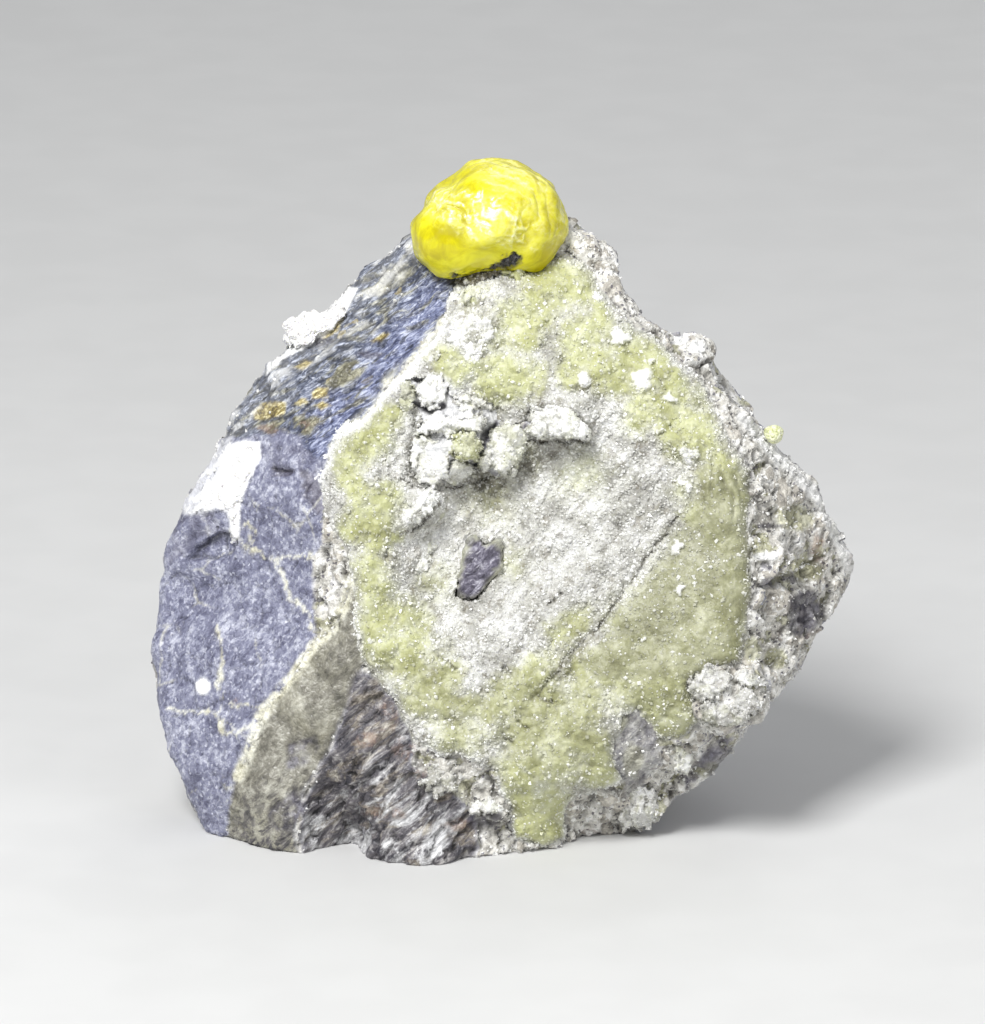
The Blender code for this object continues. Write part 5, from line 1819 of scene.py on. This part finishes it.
@dataclass
class CrystalField:
    """Thousands of small sharp crystals grown on a surface."""

    seed: int
    blocks: int
    spikes: int
    sizes: tuple[float, float]
    tilt: float = 0.6

    def template(self, habit: Habit) -> tuple[Array, Array]:
        """Gives one crystal of unit size.

        Args:
            habit: The crystal's shape.

        Returns:
            Its points and its triangles.
        """
        ring = np.array(((1, 0), (0, 1), (-1, 0), (0, -1)), float)
        low = np.column_stack((ring, np.full(4, -0.8)))
        if habit is Habit.SPIKE:
            points = np.vstack((low, ((0.1, -0.1, 0.95),)))
            return points, np.array([(k, (k + 1) % 4, 4) for k in range(4)])
        high = np.column_stack((0.82 * ring + (0.05, 0.0), (0.45, 0.3, 0.35, 0.5)))
        points = np.vstack((low, high, ((-0.1, 0.12, 0.8),)))
        sides = [(k, (k + 1) % 4, 4 + (k + 1) % 4) for k in range(4)]
        sides += [(k, 4 + (k + 1) % 4, 4 + k) for k in range(4)]
        return points, np.array(sides + [(4 + k, 4 + (k + 1) % 4, 8) for k in range(4)])

    def grown(self, host: Surface, weight: Array, habit: Habit, count: int, seed: int) -> Surface:
        """Grows crystals of one shape.

        Args:
            host: The surface that they stand on.
            weight: Likeliness at the host's points.
            habit: The crystals' shape.
            count: How many there are.
            seed: Seed of their places and turns.

        Returns:
            All of them as one surface with the host's fields.
        """
        chosen, shares = host.scattered(weight, count, seed)
        corners = host.faces[chosen]
        dice = np.random.default_rng(seed + 1)
        at = (host.points[corners] * shares[:, :, None]).sum(axis=1)
        up = host.normals()[corners].mean(axis=1) + self.tilt * dice.normal(size=(count, 3)) * 0.6
        up /= np.linalg.norm(up, axis=1, keepdims=True)
        side = np.cross(up, dice.normal(size=(count, 3)))
        side /= np.linalg.norm(side, axis=1, keepdims=True)
        across = np.cross(up, side)
        low, high = self.sizes
        size = low + (high - low) * dice.random(count) ** 2.2
        stretch = 0.75 + 0.5 * dice.random((count, 3))
        points, faces = self.template(habit)
        scaled = points[None] * (size[:, None] * stretch)[:, None, :]
        axes = np.stack((side, across, up), axis=1)
        placed = at[:, None, :] + np.einsum("nka,nax->nkx", scaled, axes)
        placed = seated(placed.reshape(-1, 3)).reshape(placed.shape)
        offset = (np.arange(count) * len(points))[:, None, None]
        # The crystals take their host's fields, and with them its painted shade in the dark field
        fields = {
            name: np.repeat((values[corners] * shares).sum(axis=1), len(points))
            for name, values in host.fields.items()
        }
        fields["pit"] = np.zeros(count * len(points))
        # Every crystal is lightened, and a quarter of them much more: partly pale crystals, partly painted
        # glints and lighter shaded sides
        tint = dice.random(count)
        fields["pale"] = np.maximum(fields["pale"], np.repeat(0.25 + 0.4 * (tint > 0.75), len(points)))
        return Surface(placed.reshape(-1, 3), (faces[None] + offset).reshape(-1, 3), fields)

    def build(self, host: Surface, weight: Array) -> Surface:
        """Grows both shapes of crystal.

        Args:
            host: The surface that they stand on.
            weight: Likeliness at the host's points.

        Returns:
            One surface with all crystals.
        """
        return Surface.joined([
            self.grown(host, weight, Habit.BLOCK, self.blocks, self.seed),
            self.grown(host, weight, Habit.SPIKE, self.spikes, self.seed + 7),
        ])


@dataclass
class CrystalBall:
    """The waxy yellow ball with its creamy swirl and its growth rings."""

    voxel: float = 0.15
    passes: int = 22
    swell: float = 0.1
    swirl_centre: Point2 = (-1.9, 64.2)
    ring_centre: Point2 = (-1.0, 64.6)
    ring_width: float = 1.15
    cleft: Outline = ((-4.6, 58.1), (-3.0, 58.2), (-1.6, 58.3), (-0.4, 59.1), (0.8, 59.7), (1.6, 60.1))

    def build(self) -> Surface:
        """Makes the ball.

        Returns:
            The finished surface.
        """
        surface = fine_copy("yellow_ball", self.voxel, self.passes)
        points = surface.points
        normals = surface.smoothed(surface.normals(), 4)
        places = warped(points, 0.7, 2.4, 41.0)
        facing = smooth_step(normals[:, 2], -0.2, 0.4)
        off_u = places[:, 0] - self.swirl_centre[0]
        off_v = places[:, 1] - self.swirl_centre[1]
        swirl = smooth_step(np.hypot(off_u / 6.2, (off_v + 0.30 * off_u) / 2.6), 1.25, 0.5) * facing
        turns = np.hypot(places[:, 0] - self.ring_centre[0], 1.15 * (places[:, 1] - self.ring_centre[1]))
        upper = smooth_step(places[:, 0] + places[:, 1] - 63.4, 1.0, 4.0) * (1 - swirl)
        rings = np.abs(np.sin(math.pi * turns / self.ring_width + 1.2 * fractal(points, 2.6, 3, 42.0)))
        folds = fractal(along(warp3(points, 1.2, 2.6), -28.0, 3.4, 1.2, 1.6), 1.0, 3, 43.0)
        folds = 1 - (np.abs(folds) / 0.36).clip(0, 1)
        height = self.swell + 0.16 * fractal(points, 2.8, 3, 44.0)
        height = height + swirl * (0.25 + 0.17 * folds) + 0.12 * upper * rings
        notch = np.exp(-(((points[:, 0] + 5.2) / 1.1) ** 2 + ((points[:, 1] - 67.4) / 0.9) ** 2))
        sharp = warped(points, 0.35, 0.8, 46.0)
        # The cleft at the ball's foot, carved and painted near-black: partly dark matter, partly painted
        # shadow
        cleft = smooth_step(edge_distance(self.cleft, sharp), 0.75, 0.35) * facing
        height = height - 0.4 * notch - cleft * (0.45 - 0.6 * np.abs(fractal(points, 0.5, 3, 47.0)))
        surface.points = points + normals * height[:, None]
        wisps = smooth_step(folds, 0.45, 0.95)
        cream = (swirl * (0.25 + 0.75 * wisps), 0.6 * upper * (1 - rings) ** 3, 0.18 * upper)
        surface.fields = {
            "cream": np.maximum.reduce(cream).clip(0, 1),
            "blackening": cleft,
            "pit": pits(surface, 10, 0.18) * (1 - cleft),
        }
        return surface


@dataclass
class Growth:
    """A small solid of the frame, made fine and broken."""

    node: str
    voxel: float
    passes: int
    swell: float
    grain: float
    rough: float

    def build(self) -> Surface:
        """Makes the piece.

        Returns:
            The finished surface.
        """
        surface = fine_copy(self.node, self.voxel, self.passes)
        points = surface.points
        normals = surface.smoothed(surface.normals(), 3)
        _, inner, value = cells(warp3(points, 0.3, 0.8), self.grain, 51.0)
        height = 0.8 * value + 0.4 * smooth_step(inner, 0.0, 0.3) - 0.6 + 1.3 * fractal(points, 1.7, 5, 52.0)
        surface.points = points + normals * (self.swell + self.rough * height)[:, None]
        surface.fields = {"pit": pits(surface, 5, 0.14)}
        return surface


@dataclass
class VeinPatch:
    """The thin white vein skin on the left edge, with ragged borders that melt into the rock."""

    step: float = 0.14
    low: Point2 = (-33.0, 31.5)
    high: Point2 = (-22.5, 44.0)
    lift: float = 0.3

    def build(self, tree: BVHTree) -> Surface:
        """Makes the patch over the rock.

        Args:
            tree: The rock's solid.

        Returns:
            The finished surface.
        """
        grid = SheetGrid(self.low, self.high, self.step)
        flat = grid.flat
        ragged = warped(flat, 0.4, 1.2, 55.0) + warped(flat, 0.2, 0.4, 56.0) - flat[:, :2]
        inner = depth_inside(PATCH_SURROUND, ragged)
        front = grid.spread(fronts(tree, grid.places), 0.5)
        _, _, value = cells(warp3(flat, 0.3, 0.8), 0.8, 57.0)
        height = self.lift - 1.1 * smooth_step(inner, 0.6, -0.3) + 0.22 * value
        height = height + 0.35 * fractal(flat, 1.4, 5, 58.0)
        surface, _ = grid.sheet(front + height, inner > -0.3)
        surface.fields = {"pit": 0.6 * pits(surface, 5, 0.16)}
        return surface


# ---- the studio ----

@dataclass
class Studio:
    """Floor, lights and camera."""

    camera_distance: float = 0.853
    lens: float = 300.0
    aim: tuple[float, float, float] = (-0.75, 35.0, -12.0)
    key_power: float = 4.2
    key_size: float = 0.22
    key_distance: float = 0.6
    fill_power: float = 1.1
    fill_size: float = 0.5
    rear_size: float = 0.4
    fill_distance: float = 0.8
    sky: float = 0.34
    sky_colour: tuple[float, float, float, float] = (0.95, 0.97, 1.0, 1.0)
    floor_half: float = 2.5

    def lamp(
        self, name: str, azimuth: float, elevation: float, distance: float, power: float, size: float
    ) -> None:
        """Hangs one square lamp that looks at the object.

        Args:
            name: The lamp's name.
            azimuth: Degrees to the right of the viewer, seen from above.
            elevation: Degrees above the floor.
            distance: Distance from the object, in metres.
            power: Watts.
            size: Side of the square, in metres.
        """
        light = bpy.data.lights.new(name, "AREA")
        light.energy = power
        light.size = size
        lamp = linked(name, light)
        turn, rise = math.radians(azimuth), math.radians(elevation)
        way = Vector((math.sin(turn) * math.cos(rise), -math.cos(turn) * math.cos(rise), math.sin(rise)))
        lamp.location = Vector((0, 0, 0.035)) + way * distance
        lamp.rotation_euler = way.to_track_quat("Z", "Y").to_euler()

    def floor(self) -> None:
        """Lays the floor."""
        half = self.floor_half
        mesh = bpy.data.meshes.new("floor")
        corners = [(-half, -half, 0), (half, -half, 0), (half, half, 0), (-half, half, 0)]
        mesh.from_pydata(corners, [], [(0, 1, 2, 3)])
        mesh.materials.append(FloorFinish().build())
        floor = linked("floor", mesh)

    def camera(self) -> None:
        """Stands the camera square to the leaning face, where the object is seen as in the studio."""
        data = bpy.data.cameras.new("camera")
        data.lens = self.lens
        data.clip_end = 10.0
        camera = linked("camera", data)
        turn = FACE.to_object()
        away = (turn.to_3x3() @ Vector((0, 0, 1))).normalized()
        camera.location = turn @ Vector(self.aim) + away * self.camera_distance
        camera.rotation_euler = (math.radians(90 - FACE.lean_deg), 0, 0)
        bpy.context.scene.camera = camera

    def build(self) -> None:
        """Sets up everything that isn't the object."""
        self.camera()
        self.floor()
        self.lamp("key", -28, 50, self.key_distance, self.key_power, self.key_size)
        self.lamp("fill", 50, 25, self.fill_distance, self.fill_power, self.fill_size)
        self.lamp("rear", 160, 45, self.fill_distance, self.fill_power, self.rear_size)
        world = bpy.data.worlds.new("studio")
        world.use_nodes = True
        world.node_tree.nodes["Background"].inputs["Strength"].default_value = self.sky
        world.node_tree.nodes["Background"].inputs["Color"].default_value = self.sky_colour
        scene = bpy.context.scene
        scene.world = world
        scene.view_settings.view_transform = "Standard"


def main() -> None:
    """Builds the studio and every piece of the specimen, in order."""
    logging.basicConfig(level=logging.INFO, format="%(message)s")
    Studio().build()
    tree = depth_tree("matrix")

    rock = HostRock().build()
    Piece("rock", Slot.ROCK, "matrix", closed=True).place(rock, RockFinish().build())

    crust = DruseCrust().build(tree)
    lining = HollowLining().build(tree)
    blocks = BrokenBlocks().build(tree)
    druse_body = DruseFinish("druse_body", roughness=(0.40, 0.58), glow=0.2).build()
    druse_points = DruseFinish("druse_points", roughness=(0.12, 0.3), glow=0.0, relief=0.01).build()
    lining_body = DruseFinish("lining_body", roughness=(0.45, 0.62), glow=0.1).build()
    Piece("crust", Slot.DRUSE, "druse_crust").place(crust, druse_body)
    Piece("lining", Slot.LINING, "hollow_lining").place(lining, lining_body)
    Piece("ledge_blocks", Slot.LINING, "matrix").place(blocks, lining_body)

    host = Surface(rock.points, rock.faces, {
        "yellow": 0.4 * rock.fields["druse"], "pale": rock.fields["pale"], "dark": rock.fields["dark"],
        "sheet_tone": np.zeros(len(rock.points)),
    })
    sparse = (1 - 0.72 * crust.fields["yellow"]) * (1 - 0.6 * crust.fields["sheet_tone"])
    grey = 1 - 0.5 * lining.fields["yellow"]
    broken = 1 - 0.6 * blocks.fields["pale"]
    bare = (1 - rock.fields["chip"]) * (0.5 * rock.fields["grainy"] + 0.5 * rock.fields["pale"])
    bare = bare * (1 - np.maximum(rock.fields["inky"], rock.fields["dark"]))
    # Each field's seed, its numbers of blocks and spikes, and the crystals' smallest and largest size
    on_crust = CrystalField(61, 5_000, 9_000, (0.10, 0.28))
    on_lining = CrystalField(62, 5_000, 7_000, (0.10, 0.27))
    on_blocks = CrystalField(63, 2_000, 4_000, (0.10, 0.24))
    on_rim = CrystalField(64, 3_000, 5_000, (0.10, 0.3))
    for name, slot, node, ground, weight, crystals in (
        ("crust_crystals", Slot.DRUSE, "druse_crust", crust, sparse, on_crust),
        ("lining_crystals", Slot.LINING, "hollow_lining", lining, grey, on_lining),
        ("block_crystals", Slot.LINING, "matrix", blocks, broken, on_blocks),
        ("rim_crystals", Slot.LINING, "matrix", host, bare, on_rim),
    ):
        Piece(name, slot, node, smooth=False).place(crystals.build(ground, weight), druse_points)

    ball = CrystalBall().build()
    Piece("crystal_ball", Slot.YELLOW, "yellow_ball", closed=True).place(ball, WaxFinish().build())
    white = VeinFinish("white_vein", Tones((176, 168, 168), (238, 236, 234), (253, 253, 252))).build()
    knob = Growth("white_vein_knob", voxel=0.15, passes=6, swell=0.05, grain=0.9, rough=0.38).build()
    Piece("vein_knob", Slot.WHITE, "white_vein_knob", closed=True).place(knob, white)
    Piece("vein_patch", Slot.WHITE, "white_vein_patch").place(VeinPatch().build(tree), white)
    green = VeinFinish("rim_bead", Tones((186, 190, 134), (214, 218, 166), (236, 238, 206))).build()
    bead = Growth("rim_ball", voxel=0.07, passes=8, swell=0.1, grain=0.5, rough=0.06).build()
    Piece("rim_bead", Slot.DRUSE, "rim_ball", closed=True).place(bead, green)


if __name__ == "__main__":
    main()
